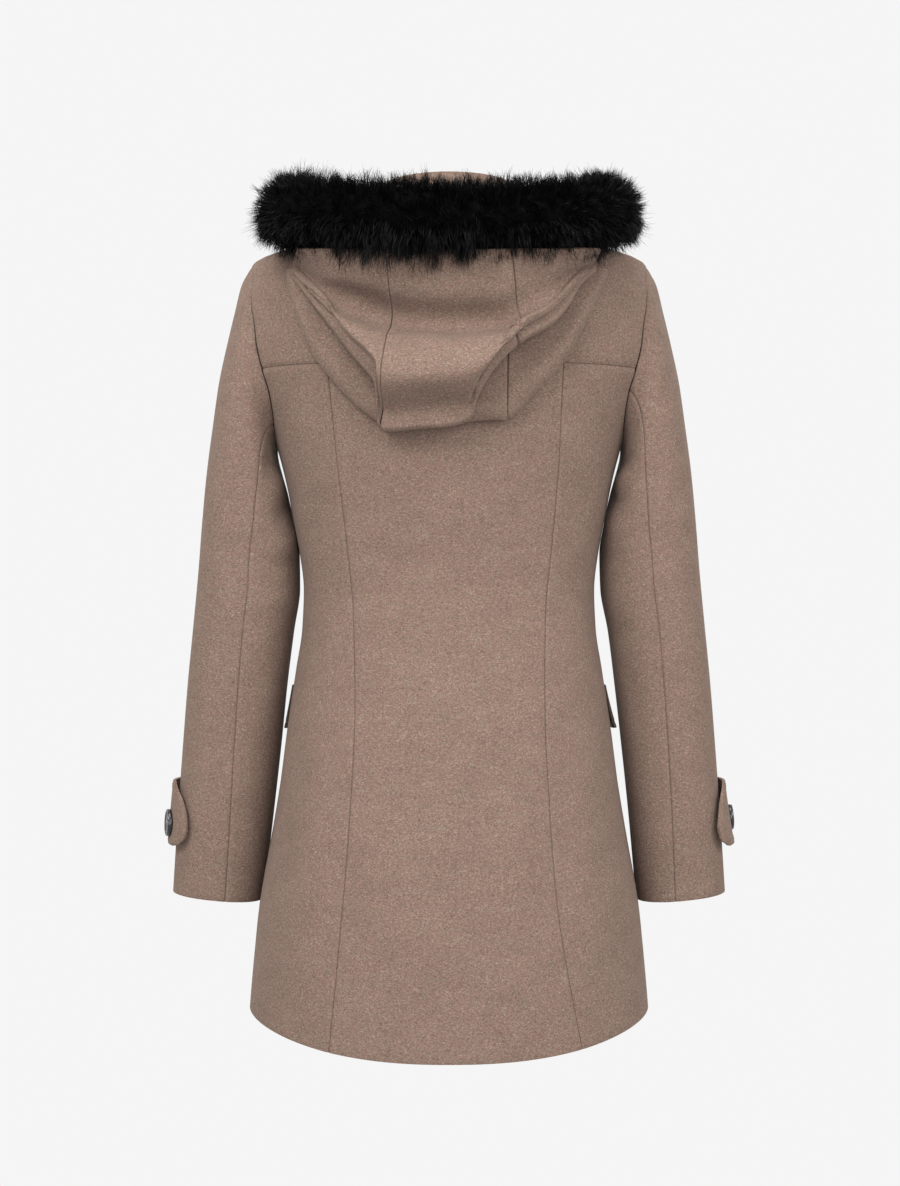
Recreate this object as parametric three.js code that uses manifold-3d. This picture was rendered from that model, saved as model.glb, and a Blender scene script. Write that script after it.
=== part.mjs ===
import * as THREE from 'three';
import Module from 'manifold-3d';
import { mergeVertices } from 'three/addons/utils/BufferGeometryUtils.js';

// Short hooded wool coat, filled out as worn with nobody in it, its back towards -Y.
// Millimetres, +Z up, +X towards the wearer's right. The origin is the middle of the neck base,
// level with the points where the shoulder seams meet the neck.

const wasm = await Module();
wasm.setup();

const clothWall = 2.5;
const seamGap = 0.3;
const touchGap = 1.2;
const yokeSeamZ = -154;
const shoulderTipZ = -46;
const neck = { halfWidth: 72, back: 72, front: 104 };
const hem = { side: -786, back: -804, front: -800 };
const armhole = { top: shoulderTipZ, bottom: -225, halfDepth: 64 };
const frontOverlap = { reach: 36, step: 3.2, ramp: 26 };
const collar = { wall: 3, backHeight: 36, frontHeight: 32, lean: 0.9, endAngle: 176 };
const cuffTab = { top: -556, bottom: -624, wall: 3, lift: 1, front: -62 };
const button = { radius: 13.5, thickness: 5.5, rim: 2.2, hole: 1.6, holeRing: 3.6 };
const flap = { top: -464, drop: 44, wall: 2.5, lining: 1.5, sideTurn: 96, frontTurn: 142 };
const flapFlare = { left: 1.8, right: 4.8 };
const toggle = { length: 46, radius: 6.5, middle: -15, cord: 1.8, loopHalf: 7.5, rise: 24, gap: 0.3 };
const patch = { width: 30, height: 30, wall: 2, leftStart: -94, rightStart: 34, lift: 0.9 };
const toggleHeights = [-161, -289, -417, -545];

const table = (columns, ...rows) =>
  rows.map((row) => Object.fromEntries(columns.map((name, index) => [name, row[index]])));

const bodyRows = table(
  ['z', 'halfWidth', 'backDepth', 'frontDepth', 'squareness'],
  [-810, 200, 157, 158, 2.3],
  [-746, 195, 152, 154, 2.3],
  [-686, 189, 147, 150, 2.3],
  [-606, 175, 139, 144, 2.3],
  [-546, 166.5, 131, 138, 2.3],
  [-506, 161, 126, 134, 2.3],
  [-446, 152, 117, 128, 2.3],
  [-406, 146, 111, 124, 2.3],
  [-368, 144.5, 108, 121, 2.3],
  [-334, 148, 109, 121, 2.3],
  [-303, 153.5, 112, 123, 2.3],
  [-257, 163, 118, 127, 2.3],
  [-225, 171.5, 122, 128, 2.3],
  [-203, 178, 123, 128, 2.3],
  [-178, 188, 124, 127, 2.3],
  [-154, 200, 124, 125, 2.3],
  [-127, 208, 123, 121, 2.3],
  [-98, 209, 120, 114, 2.3],
  [-80, 206, 117, 107, 2.3],
  [-62, 200, 113, 99, 2.2],
  [-46, 196, 108, 92, 2.1],
  [-23, 134, 94, 78, 2],
  [0, 72, 72, 60, 2],
);

// Distance of the two curved back seams from the centre line
const princessRows = table(
  ['z', 'left', 'right'],
  [-810, 113, 127],
  [-660, 99, 101],
  [-580, 93, 95],
  [-480, 89, 91],
  [-400, 91, 92],
  [-330, 97, 98],
  [-260, 105, 104],
  [-154, 115, 108],
);

// Sections of a sleeve from the armhole to the cuff; its under edge differs a little side to side
const sleeveRows = table(
  ['at', 'outerX', 'outerZ', 'innerLeft', 'innerRight', 'innerZ', 'centreY', 'halfDepth'],
  [0, 196, -46, 172, 172, -225, 0, 64],
  [0.04, 207, -64, 172.8, 172.8, -229, 0, 64.5],
  [0.09, 214.5, -92, 172.4, 172.4, -234, 0, 65],
  [0.15, 222.5, -124, 170.6, 170.6, -242, 0, 65.5],
  [0.21, 231, -163, 167, 167, -254, 1, 65.5],
  [0.28, 237, -205, 161.5, 161.5, -273, 2, 65],
  [0.36, 243, -250, 155.6, 155.6, -301, 3, 64],
  [0.44, 248, -300, 150, 151, -332, 5, 62],
  [0.52, 252, -350, 149.6, 152, -366, 7, 60],
  [0.61, 257, -402, 156, 160, -410, 10, 58],
  [0.71, 263, -460, 163.5, 167, -464, 14, 56],
  [0.81, 268, -522, 171, 174, -524, 18, 53],
  [0.9, 273.5, -590, 180, 182, -592, 22, 51],
  [1, 279, -670, 190.5, 192, -678, 28, 48],
);

// Degrees round the sleeve from its outer line, where the back seam runs
const sleeveSeamRows = table(
  ['at', 'left', 'right'],
  [0, 142, 116],
  [0.15, 126, 108],
  [0.3, 108, 100],
  [0.5, 94, 92],
  [0.8, 97, 95],
  [1, 103, 101],
);
const sleeveFrontSeam = 232;

// Free end of a cuff tab, by share of its width from the top: degrees round the sleeve, and how far it
// stands off there
const tabRows = table(
  ['share', 'endLeft', 'endRight', 'liftLeft', 'liftRight'],
  [0, -3, -6, 1.2, 1],
  [0.25, 9, 2, 4.6, 2.8],
  [0.5, 16, 10, 6, 4.6],
  [0.72, 22, 16, 5.8, 6],
  [0.88, 19, 12, 4.8, 7],
  [1, 2, -2, 3.4, 7.8],
);
const buttonPlace = { left: [13, 0.64], right: [-2, 0.6] };

// Middle line of the fur roll from the centre back to its end at the front of the neck
const furRows = table(
  ['at', 'x', 'y', 'z', 'radius'],
  [0, 0, -151, -29, 41],
  [0.14, 52, -149, -27, 41],
  [0.27, 98, -141, -24, 41],
  [0.4, 139, -122, -17, 40],
  [0.5, 151, -80, -3, 35],
  [0.62, 141, -18, 11, 31],
  [0.75, 120, 45, 13, 31],
  [0.88, 95, 99, -14, 30],
  [0.97, 68, 131, -52, 26],
  [1, 60, 137, -64, 14],
);

// The hood hangs as a pouch. From the left shoulder to the right one: the lowest fold of its layer
// against the back, the edge of the layer that hangs over it, the bulge above that edge, the valley
// between bulge and fur, and where it meets the fur
const hoodRows = table(
  ['u', 'foldX', 'foldZ', 'edgeX', 'edgeZ', 'edgeLift', 'bulgeX', 'bulgeZ', 'bulgeLift',
    'valleyX', 'valleyZ', 'valleyLift', 'furAt'],
  [-1, -150, -74, -146, -72, 17, -143, -69, 20, -141, -68, 20, -0.41],
  [-0.83, -140, -108, -125, -97, 25, -122, -90, 29, -120, -82, 25, -0.37],
  [-0.67, -126, -144, -105, -123, 31, -101, -112, 38, -105, -92, 28, -0.33],
  [-0.5, -107, -170, -84, -150, 35, -79, -137, 46, -86, -104, 30, -0.26],
  [-0.4, -88, -191, -72, -164, 37, -67, -149, 50, -73, -109, 31, -0.21],
  [-0.33, -70, -207, -63.5, -176, 37, -60, -158, 52, -60, -113, 31, -0.18],
  [-0.26, -59, -216, -59.5, -218, 25, -55, -172, 55, -52, -115, 31, -0.155],
  [-0.1, -25, -216, -25, -218, 27, -22, -174, 60, -20, -117, 33, -0.06],
  [0.04, 8, -213, 8, -215, 27, 8, -173, 60, 8, -118, 34, 0.03],
  [0.12, 26, -211, 22, -199, 32, 26, -165, 57, 27, -118, 35, 0.075],
  [0.2, 42, -209.5, 37, -168, 41, 42, -150, 54, 44, -115, 36, 0.12],
  [0.26, 54, -208.5, 59, -144, 43, 60, -130, 51, 59, -108, 38, 0.155],
  [0.4, 79, -184, 88, -125.5, 38, 84, -115, 45, 79, -101, 37, 0.22],
  [0.55, 103, -157, 103, -109, 33, 97, -101, 39, 91, -92, 35, 0.28],
  [0.75, 122, -125, 116, -88, 26, 113, -83, 30, 109, -79, 28, 0.35],
  [1, 146, -74, 134, -72, 17, 133, -69, 20, 132, -68, 20, 0.41],
);
const hoodSeam = 0.26;
const hoodSeamInset = 0.72;
const hoodLift = { neck: 2, inner: 2.4, tuck: 17, lower: 14, fold: 7, fur: 2.4, furAtSide: 12.4 };

const cloth = new THREE.MeshStandardMaterial({ color: '#93796b', roughness: 0.95, metalness: 0 });
const fur = new THREE.MeshStandardMaterial({ color: '#0a0a0b', roughness: 0.9, metalness: 0 });
const darkLining = new THREE.MeshStandardMaterial({ color: '#2a211d', roughness: 0.9, metalness: 0 });
const horn = new THREE.MeshStandardMaterial({ color: '#2c2a2b', roughness: 0.3, metalness: 0 });
const leather = new THREE.MeshStandardMaterial({ color: '#2b211d', roughness: 0.6, metalness: 0 });
const cordage = new THREE.MeshStandardMaterial({ color: '#231d1b', roughness: 0.8, metalness: 0 });

const degrees = (angle) => THREE.MathUtils.degToRad(angle);
const mix = THREE.MathUtils.lerp;
const steps = (count, from = 0, to = 1) =>
  Array.from({ length: count + 1 }, (_, index) => mix(from, to, index / count));

// A smooth value along a table column that never overshoots its rows
function curve(rows, along, value) {
  const sorted = [...rows].sort((a, b) => a[along] - b[along]);
  const x = sorted.map((row) => row[along]);
  const y = sorted.map((row) => row[value]);
  const secant = x.slice(1).map((next, i) => (y[i + 1] - y[i]) / (next - x[i]));
  const slope = y.map((_, i) => {
    if (i === 0) return secant[0];
    if (i === y.length - 1) return secant[i - 1];
    const product = secant[i - 1] * secant[i];
    return product <= 0 ? 0 : (2 * product) / (secant[i - 1] + secant[i]);
  });
  return (at) => {
    const last = x.length - 2;
    let i = 0;
    while (i < last && at > x[i + 1]) i += 1;
    const span = x[i + 1] - x[i];
    const t = Math.min(1, Math.max(0, (at - x[i]) / span));
    const rise = t * t * (3 - 2 * t);
    const bend = span * t * (1 - t);
    return mix(y[i], y[i + 1], rise) + bend * ((1 - t) * slope[i] - t * slope[i + 1]);
  };
}

const body = {
  halfWidth: curve(bodyRows, 'z', 'halfWidth'),
  backDepth: curve(bodyRows, 'z', 'backDepth'),
  frontDepth: curve(bodyRows, 'z', 'frontDepth'),
  squareness: curve(bodyRows, 'z', 'squareness'),
};

// A point of the coat's body at a height; turn is 0 at the centre back, a right angle at the side
function bodyPoint(z, turn) {
  const power = 2 / body.squareness(z);
  const sine = Math.sin(turn);
  const cosine = Math.cos(turn);
  const depth = cosine > 0 ? -body.backDepth(z) : body.frontDepth(z);
  const across = Math.sign(sine) * body.halfWidth(z) * Math.abs(sine) ** power;
  return new THREE.Vector3(across, depth * Math.abs(cosine) ** power, z);
}

function surfaceNormal(surface, u, v, du, dv) {
  const alongU = surface(u + du, v).sub(surface(u - du, v));
  const alongV = surface(u, v + dv).sub(surface(u, v - dv));
  return alongU.cross(alongV).normalize();
}

// Outward normal of the body
function bodyNormal(z, turn) {
  return surfaceNormal((t, height) => bodyPoint(height, t), turn, z, 0.02, 1);
}

function turnAcross(z, x) {
  const share = Math.min(1, Math.abs(x) / body.halfWidth(z));
  return Math.asin(share ** (body.squareness(z) / 2));
}

function turnInDepth(z, y) {
  const depth = y < 0 ? body.backDepth(z) : body.frontDepth(z);
  const share = Math.min(1, Math.abs(y) / depth);
  const turn = Math.acos(share ** (body.squareness(z) / 2));
  return y < 0 ? turn : Math.PI - turn;
}

// A point over the back at a place across and a height, moved out by a lift
function overBack(x, z, lift) {
  const turn = Math.sign(x) * turnAcross(z, Math.min(Math.abs(x), body.halfWidth(z) * 0.985));
  return bodyPoint(z, turn).addScaledVector(bodyNormal(z, turn), lift);
}

const armholeMiddle = (armhole.top + armhole.bottom) / 2;
const armholeHalfHeight = (armhole.top - armhole.bottom) / 2;

// Armhole edge, by degrees from the shoulder tip round the back, under the arm and up the front
function armholePoint(angle) {
  const z = armholeMiddle + armholeHalfHeight * Math.cos(degrees(angle));
  const y = -armhole.halfDepth * Math.sin(degrees(angle));
  return bodyPoint(z, turnInDepth(z, y));
}

// Where a body panel ends at its side: the side seam, the armhole or the shoulder seam
function edgeTurn(z, atFront) {
  if (z <= armhole.bottom || z >= armhole.top) return Math.PI / 2;
  const share = (z - armholeMiddle) / armholeHalfHeight;
  const depth = armhole.halfDepth * Math.sqrt(Math.max(0, 1 - share * share));
  return turnInDepth(z, atFront ? depth : -depth);
}

// The turn that half a seam gap takes up at a place
function halfGapTurn(z, turn) {
  const probe = 0.01;
  return (probe * seamGap) / 2 / bodyPoint(z, turn).distanceTo(bodyPoint(z, turn - probe));
}

// The neckline is where an upright oval round the neck meets the body
function necklineHeight(angle) {
  const depth = Math.cos(angle) > 0 ? neck.back : neck.front;
  const x = neck.halfWidth * Math.sin(angle);
  const y = depth * Math.cos(angle);
  let low = -130;
  let high = 0;
  for (let step = 0; step < 30; step += 1) {
    const z = (low + high) / 2;
    const bodyDepth = Math.cos(angle) > 0 ? body.backDepth(z) : body.frontDepth(z);
    const power = body.squareness(z);
    const reach = Math.abs(x / body.halfWidth(z)) ** power + Math.abs(y / bodyDepth) ** power;
    if (reach < 1) low = z;
    else high = z;
  }
  return high;
}

function necklineTurn(angle) {
  const z = necklineHeight(angle);
  const x = neck.halfWidth * Math.sin(angle);
  return Math.cos(angle) > 0 ? turnAcross(z, x) : Math.PI - Math.sign(x) * turnAcross(z, x);
}

// A closed wall of cloth: a grid of surface points, a second grid below it, and the four edges
function wallGeometry(points, normals, thickness) {
  const rows = points.length;
  const columns = points[0].length;
  const vertices = [];
  const outer = points.map((row) => row.map((point) => vertices.push(...point.toArray()) / 3 - 1));
  const inner = points.map((row, i) => row.map((point, j) => {
    const below = point.clone().addScaledVector(normals[i][j], -thickness);
    return vertices.push(...below.toArray()) / 3 - 1;
  }));
  const faces = [];
  const quad = (a, b, c, d) => faces.push(a, b, c, a, c, d);
  for (let i = 0; i < rows - 1; i += 1) {
    for (let j = 0; j < columns - 1; j += 1) {
      quad(outer[i][j], outer[i][j + 1], outer[i + 1][j + 1], outer[i + 1][j]);
      quad(inner[i][j], inner[i + 1][j], inner[i + 1][j + 1], inner[i][j + 1]);
    }
  }
  const edge = [
    ...steps(columns - 1, 0, columns - 1).map((j) => [0, j]),
    ...steps(rows - 1, 0, rows - 1).slice(1).map((i) => [i, columns - 1]),
    ...steps(columns - 1, columns - 1, 0).slice(1).map((j) => [rows - 1, j]),
    ...steps(rows - 1, rows - 1, 0).slice(1).map((i) => [i, 0]),
  ].map(([i, j]) => [Math.round(i), Math.round(j)]);
  edge.slice(1).forEach(([i, j], k) => {
    const [pi, pj] = edge[k];
    quad(outer[i][j], outer[pi][pj], inner[pi][pj], inner[i][j]);
  });
  const geometry = new THREE.BufferGeometry();
  geometry.setAttribute('position', new THREE.Float32BufferAttribute(vertices, 3));
  geometry.setIndex(faces);
  return facingOut(geometry);
}

function facingOut(geometry) {
  const at = geometry.getAttribute('position');
  const index = geometry.getIndex();
  const corner = (k) => new THREE.Vector3().fromBufferAttribute(at, index.getX(k));
  let volume = 0;
  for (let k = 0; k < index.count; k += 3) {
    volume += corner(k).dot(corner(k + 1).cross(corner(k + 2)));
  }
  if (volume < 0) {
    for (let k = 0; k < index.count; k += 3) {
      const second = index.getX(k + 1);
      index.setX(k + 1, index.getX(k + 2));
      index.setX(k + 2, second);
    }
  }
  geometry.computeVertexNormals();
  return geometry;
}

function clothPanel(name, rowsAt, columnsAt, surface, normal, thickness = clothWall, material = cloth) {
  const points = rowsAt.map((v) => columnsAt.map((u) => surface(u, v)));
  const normals = rowsAt.map((v) => columnsAt.map((u) => normal(u, v)));
  return namedMesh(name, wallGeometry(points, normals, thickness), material);
}

function namedMesh(name, geometry, material) {
  const mesh = new THREE.Mesh(geometry, material);
  mesh.name = name;
  return mesh;
}

const mirrored = (vector, side) => new THREE.Vector3(vector.x * side, vector.y, vector.z);

const sleeveCurves = Object.fromEntries(
  ['outerX', 'outerZ', 'innerLeft', 'innerRight', 'innerZ', 'centreY', 'halfDepth']
    .map((name) => [name, curve(sleeveRows, 'at', name)]),
);

function sleeveSection(side, at, angle) {
  const power = 2 / 2.25;
  const inner = (side < 0 ? sleeveCurves.innerLeft : sleeveCurves.innerRight)(at);
  const outerX = sleeveCurves.outerX(at);
  const outerZ = sleeveCurves.outerZ(at);
  const innerZ = sleeveCurves.innerZ(at);
  const cosine = Math.cos(degrees(angle));
  const sine = Math.sin(degrees(angle));
  const reach = Math.sign(cosine) * Math.abs(cosine) ** power;
  const depth = Math.sign(sine) * Math.abs(sine) ** power * sleeveCurves.halfDepth(at);
  return new THREE.Vector3(
    (outerX + inner) / 2 + reach * (outerX - inner) / 2,
    sleeveCurves.centreY(at) - depth,
    (outerZ + innerZ) / 2 + reach * (outerZ - innerZ) / 2,
  );
}

// A point of the sleeve on the wearer's right, by place down the arm and degrees from its outer line
function sleevePoint(side, at, angle) {
  const point = sleeveSection(side, Math.max(at, 0), angle);
  const settle = THREE.MathUtils.smoothstep(at, 0, 0.16);
  const onArmhole = armholePoint(angle).add(new THREE.Vector3(1.7, 0, -0.45));
  return point.addScaledVector(onArmhole.sub(sleeveSection(side, 0, angle)), 1 - settle);
}

function sleeveNormal(side, at, angle) {
  const place = Math.max(at, 0.006);
  return surfaceNormal((u, v) => sleevePoint(side, v, u), angle, place, 1.5, 0.005);
}

// At the armhole two walls share one slanted edge where they bend towards each other
function armholeNormal(side, angle, own) {
  const share = armholePoint(angle);
  const onBody = bodyNormal(share.z, turnInDepth(share.z, share.y));
  const onSleeve = sleeveNormal(side, 0, angle);
  const bend = THREE.MathUtils.smoothstep(onBody.dot(onSleeve), -0.3, 0.4);
  const shared = onBody.clone().add(onSleeve).normalize();
  return (own === 'body' ? onBody : onSleeve).lerp(shared, bend).normalize();
}

const lowerRows = steps(9, hem.front, armhole.bottom).slice(0, -1);
const armholeHeights = (count, from, to) =>
  steps(count, from, to).map((angle) => armholeMiddle + armholeHalfHeight * Math.cos(degrees(angle)));
const yokeSeamAngle = THREE.MathUtils.radToDeg(Math.acos((yokeSeamZ - armholeMiddle) / armholeHalfHeight));
const midRows = armholeHeights(5, 180, yokeSeamAngle);

function hemHeight(turn) {
  const cosine = Math.cos(turn);
  return mix(hem.side, cosine > 0 ? hem.back : hem.front, cosine * cosine);
}

// Height of a grid row: those below the armpit are drawn out to the hem's own height there
function rowHeight(row, turn) {
  const share = (row - hem.front) / (armhole.bottom - hem.front);
  return share < 1 ? mix(hemHeight(turn), armhole.bottom, share) : row;
}

function backPanelNormal(z, turn, side) {
  const onArmhole = z > armhole.bottom && z < armhole.top && Math.abs(turn - edgeTurn(z, false)) < 0.02;
  if (!onArmhole) return bodyNormal(z, turn);
  const angle = THREE.MathUtils.radToDeg(Math.acos((z - armholeMiddle) / armholeHalfHeight));
  return armholeNormal(side, angle, 'body');
}

function princessTurn(z, side) {
  return turnAcross(z, curve(princessRows, 'z', side < 0 ? 'left' : 'right')(z));
}

const seamTop = (row) => (row === yokeSeamZ ? yokeSeamZ - seamGap / 2 : row);
const backRows = [...lowerRows, ...midRows.slice(0, -1), yokeSeamZ];

function backCentre() {
  const place = (u, row) => {
    const z = seamTop(rowHeight(row, princessTurn(hem.side, Math.sign(u) || 1) * Math.abs(u)));
    const edge = princessTurn(z, Math.sign(u) || 1);
    return [z, u * (edge - halfGapTurn(z, edge))];
  };
  return clothPanel('back_centre', backRows, steps(8, -1, 1),
    (u, row) => bodyPoint(...place(u, row)), (u, row) => bodyNormal(...place(u, row)));
}

function backSide(name, side) {
  const place = (u, row) => {
    const hemTurn = mix(princessTurn(hem.side, side), Math.PI / 2, u);
    const z = seamTop(rowHeight(row, hemTurn));
    const seam = princessTurn(z, side);
    const edge = edgeTurn(z, false);
    return [z, mix(seam + halfGapTurn(z, seam), edge - halfGapTurn(z, edge), u)];
  };
  return clothPanel(name, backRows, steps(7),
    (u, row) => mirrored(bodyPoint(...place(u, row)), side),
    (u, row) => mirrored(backPanelNormal(...place(u, row), side), side));
}

function backYoke() {
  const rows = [yokeSeamZ + seamGap / 2, ...armholeHeights(7, yokeSeamAngle, 0).slice(1), -35, -22, -10, 0];
  const place = (u, z) => {
    const edge = edgeTurn(z, false);
    return [z, Math.abs(u) * (edge - halfGapTurn(z, edge))];
  };
  return clothPanel('back_yoke', rows, steps(22, -1, 1),
    (u, z) => mirrored(bodyPoint(...place(u, z)), Math.sign(u) || 1),
    (u, z) => mirrored(backPanelNormal(...place(u, z), Math.sign(u) || 1), Math.sign(u) || 1));
}

const frontUpperRows = [...armholeHeights(9, 180, 0).slice(1), -35, -22, -10, 0];
const frontRows = [...lowerRows, armhole.bottom, ...frontUpperRows];

function frontReachTurn(z) {
  return Math.PI + turnAcross(z, frontOverlap.reach);
}

// Above the armpit a front fills the space between armhole, shoulder, neckline and front edge
function frontPlace(u, row) {
  if (row <= armhole.bottom) {
    const z = rowHeight(row, mix(Math.PI / 2, Math.PI, u));
    return [z, mix(Math.PI / 2 + halfGapTurn(z, Math.PI / 2), frontReachTurn(z), u)];
  }
  const share = (row - armhole.bottom) / -armhole.bottom;
  const neckEnd = Math.PI + Math.asin(frontOverlap.reach / neck.halfWidth);
  const neckAngle = mix(Math.PI / 2, neckEnd, u);
  const endHeight = necklineHeight(neckEnd);
  const frontZ = mix(armhole.bottom, endHeight, share);
  const topZ = necklineHeight(neckAngle) - (u > 0 ? seamGap : 0);
  const flatZ = mix(mix(armhole.bottom, 0, share), mix(armhole.bottom, endHeight, share), u);
  const z = mix(row, frontZ, u) + mix(armhole.bottom, topZ, share) - flatZ;
  const edge = edgeTurn(row, true);
  const sideTurn = edge + halfGapTurn(row, edge);
  const bottomTurn = mix(Math.PI / 2, frontReachTurn(armhole.bottom), u);
  const frontTurn = frontReachTurn(frontZ);
  const corner = mix(mix(Math.PI / 2, frontReachTurn(armhole.bottom), u),
    mix(Math.PI / 2, frontReachTurn(endHeight), u), share);
  const topTurn = u === 0 ? Math.PI / 2 : necklineTurn(neckAngle);
  const turn = mix(sideTurn, frontTurn, u) + mix(bottomTurn, topTurn, share) - corner;
  return [u === 0 ? row : z, u === 0 ? sideTurn : turn];
}

function frontNormal(z, turn, side) {
  const onArmhole = z > armhole.bottom && z < armhole.top && Math.abs(turn - edgeTurn(z, true)) < 0.02;
  if (!onArmhole) return bodyNormal(z, turn);
  const angle = 360 - THREE.MathUtils.radToDeg(Math.acos((z - armholeMiddle) / armholeHalfHeight));
  return armholeNormal(side, angle, 'body');
}

// The wearer's left front passes under the right one
function underStep(x) {
  const start = -frontOverlap.reach - frontOverlap.ramp;
  return frontOverlap.step * THREE.MathUtils.smoothstep(-x, start, start + frontOverlap.ramp);
}

function front(name, side) {
  const surface = (u, row) => {
    const [z, turn] = frontPlace(u, row);
    const point = bodyPoint(z, turn);
    const step = side < 0 ? underStep(point.x) : 0;
    return mirrored(point.addScaledVector(frontNormal(z, turn, side), -step), side);
  };
  const columns = [0, 0.1, 0.2, 0.3, 0.4, 0.5, 0.6, 0.69, 0.77, 0.84, 0.91, 1];
  return clothPanel(name, frontRows, columns, surface,
    (u, row) => mirrored(frontNormal(...frontPlace(u, row), side), side));
}

const sleeveStations = [
  0, 0.025, 0.05, 0.08, 0.11, 0.15, 0.2, 0.26, 0.32, 0.39, 0.46, 0.53, 0.61, 0.7, 0.8, 0.9, 1,
];

function sleevePiece(name, side, columns, fromAngle, toAngle) {
  const angleOf = (u, at) => {
    const gap = THREE.MathUtils.radToDeg(seamGap / 2 / 52);
    return mix(fromAngle(at) + gap, toAngle(at) - gap, u);
  };
  const normal = (u, at) => (at === 0
    ? armholeNormal(side, angleOf(u, at), 'sleeve')
    : sleeveNormal(side, at, angleOf(u, at)));
  return clothPanel(name, sleeveStations, steps(columns),
    (u, at) => mirrored(sleevePoint(side, at, angleOf(u, at)), side),
    (u, at) => mirrored(normal(u, at), side));
}

function sleeve(word, side) {
  const backSeam = curve(sleeveSeamRows, 'at', word);
  return [
    sleevePiece(`sleeve_upper_${word}`, side, 15, () => sleeveFrontSeam - 360, backSeam),
    sleevePiece(`sleeve_under_${word}`, side, 8, backSeam, () => sleeveFrontSeam),
  ];
}

// Strap laid round the outer side of the cuff, its free end lifted a little by the button
function cuffTabPlace(word, u, v) {
  const end = curve(tabRows, 'share', word === 'left' ? 'endLeft' : 'endRight')(v);
  const extra = curve(tabRows, 'share', word === 'left' ? 'liftLeft' : 'liftRight')(v);
  return {
    angle: mix(cuffTab.front, end, u),
    at: mix(0.853, 0.944, v),
    lift: cuffTab.lift + cuffTab.wall + extra * u * u,
  };
}

function cuffTabPiece(word, side) {
  const surface = (u, v) => {
    const { angle, at, lift } = cuffTabPlace(word, u, v);
    const out = sleeveNormal(side, at, angle).multiplyScalar(lift);
    return mirrored(sleevePoint(side, at, angle).add(out), side);
  };
  const normal = (u, v) => {
    const { angle, at } = cuffTabPlace(word, u, v);
    return mirrored(sleeveNormal(side, at, angle), side);
  };
  return clothPanel(`cuff_tab_${word}`, steps(10), steps(9), surface, normal, cuffTab.wall);
}

function manifoldOf(geometry) {
  const bare = geometry.clone();
  bare.deleteAttribute('normal');
  bare.deleteAttribute('uv');
  const merged = mergeVertices(bare, 1e-4);
  return new wasm.Manifold(new wasm.Mesh({
    numProp: 3,
    vertProperties: new Float32Array(merged.getAttribute('position').array),
    triVerts: new Uint32Array(merged.getIndex().array),
  }));
}

function geometryOf(solid) {
  const mesh = solid.getMesh();
  const geometry = new THREE.BufferGeometry();
  geometry.setAttribute('position', new THREE.Float32BufferAttribute(mesh.vertProperties, 3));
  geometry.setIndex(Array.from(mesh.triVerts));
  return geometry;
}

// Four-hole button turned about Z, its underside at 0
function buttonGeometry() {
  const { radius, thickness, rim, hole, holeRing } = button;
  const profile = [
    [0, 0], [radius - 1.4, 0], [radius, 1.4], [radius, thickness - 1.2], [radius - 0.8, thickness],
    [radius - rim, thickness], [radius - rim - 1, thickness - 1.2], [0, thickness - 1.4],
  ].map(([x, y]) => new THREE.Vector2(x, y));
  const disc = new THREE.LatheGeometry(profile, 24).rotateX(Math.PI / 2);
  const drilled = [45, 135, 225, 315].reduce((solid, angle) => {
    const drill = new THREE.CylinderGeometry(hole, hole, thickness * 4, 8).rotateX(Math.PI / 2);
    drill.translate(holeRing * Math.cos(degrees(angle)), holeRing * Math.sin(degrees(angle)), 0);
    return solid.subtract(manifoldOf(drill));
  }, manifoldOf(disc));
  return geometryOf(drilled);
}

function cuffButton(word, side) {
  const [angle, v] = buttonPlace[word];
  const end = curve(tabRows, 'share', word === 'left' ? 'endLeft' : 'endRight')(v);
  const { at, lift } = cuffTabPlace(word, (angle - cuffTab.front) / (end - cuffTab.front), v);
  const out = sleeveNormal(side, at, angle);
  const seat = sleevePoint(side, at, angle).addScaledVector(out, lift + touchGap);
  const mesh = namedMesh(`cuff_button_${word}`, buttonGeometry(), horn);
  mesh.position.copy(mirrored(seat, side));
  mesh.quaternion.setFromUnitVectors(new THREE.Vector3(0, 0, 1), mirrored(out, side));
  return mesh;
}

// Flap sewn to the front along its top edge, standing off at its lower side corner
function flapPiece(name, side, flare, depthBelow, thickness, material) {
  const place = (u, v) => {
    const turn = degrees(mix(flap.sideTurn, flap.frontTurn, u));
    const dip = flap.drop * v * (1 - 0.12 * (1 - v) * u);
    const lift = 0.4 + flap.wall + flap.lining + seamGap + flare * v * (1 - 0.75 * u) * (0.4 + 0.6 * v);
    return { z: flap.top - dip, turn, lift: lift - depthBelow };
  };
  const surface = (u, v) => {
    const { z, turn, lift } = place(u, v);
    return mirrored(bodyPoint(z, turn).addScaledVector(bodyNormal(z, turn), lift), side);
  };
  return clothPanel(name, steps(4), steps(7), surface, (u, v) => {
    const { z, turn } = place(u, v);
    return mirrored(bodyNormal(z, turn), side);
  }, thickness, material);
}

function pocketFlap(word, side) {
  const liningDepth = flap.wall + seamGap;
  return [
    flapPiece(`pocket_flap_${word}`, side, flapFlare[word], 0, flap.wall, cloth),
    flapPiece(`pocket_flap_lining_${word}`, side, flapFlare[word], liningDepth, flap.lining, darkLining),
  ];
}

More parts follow.
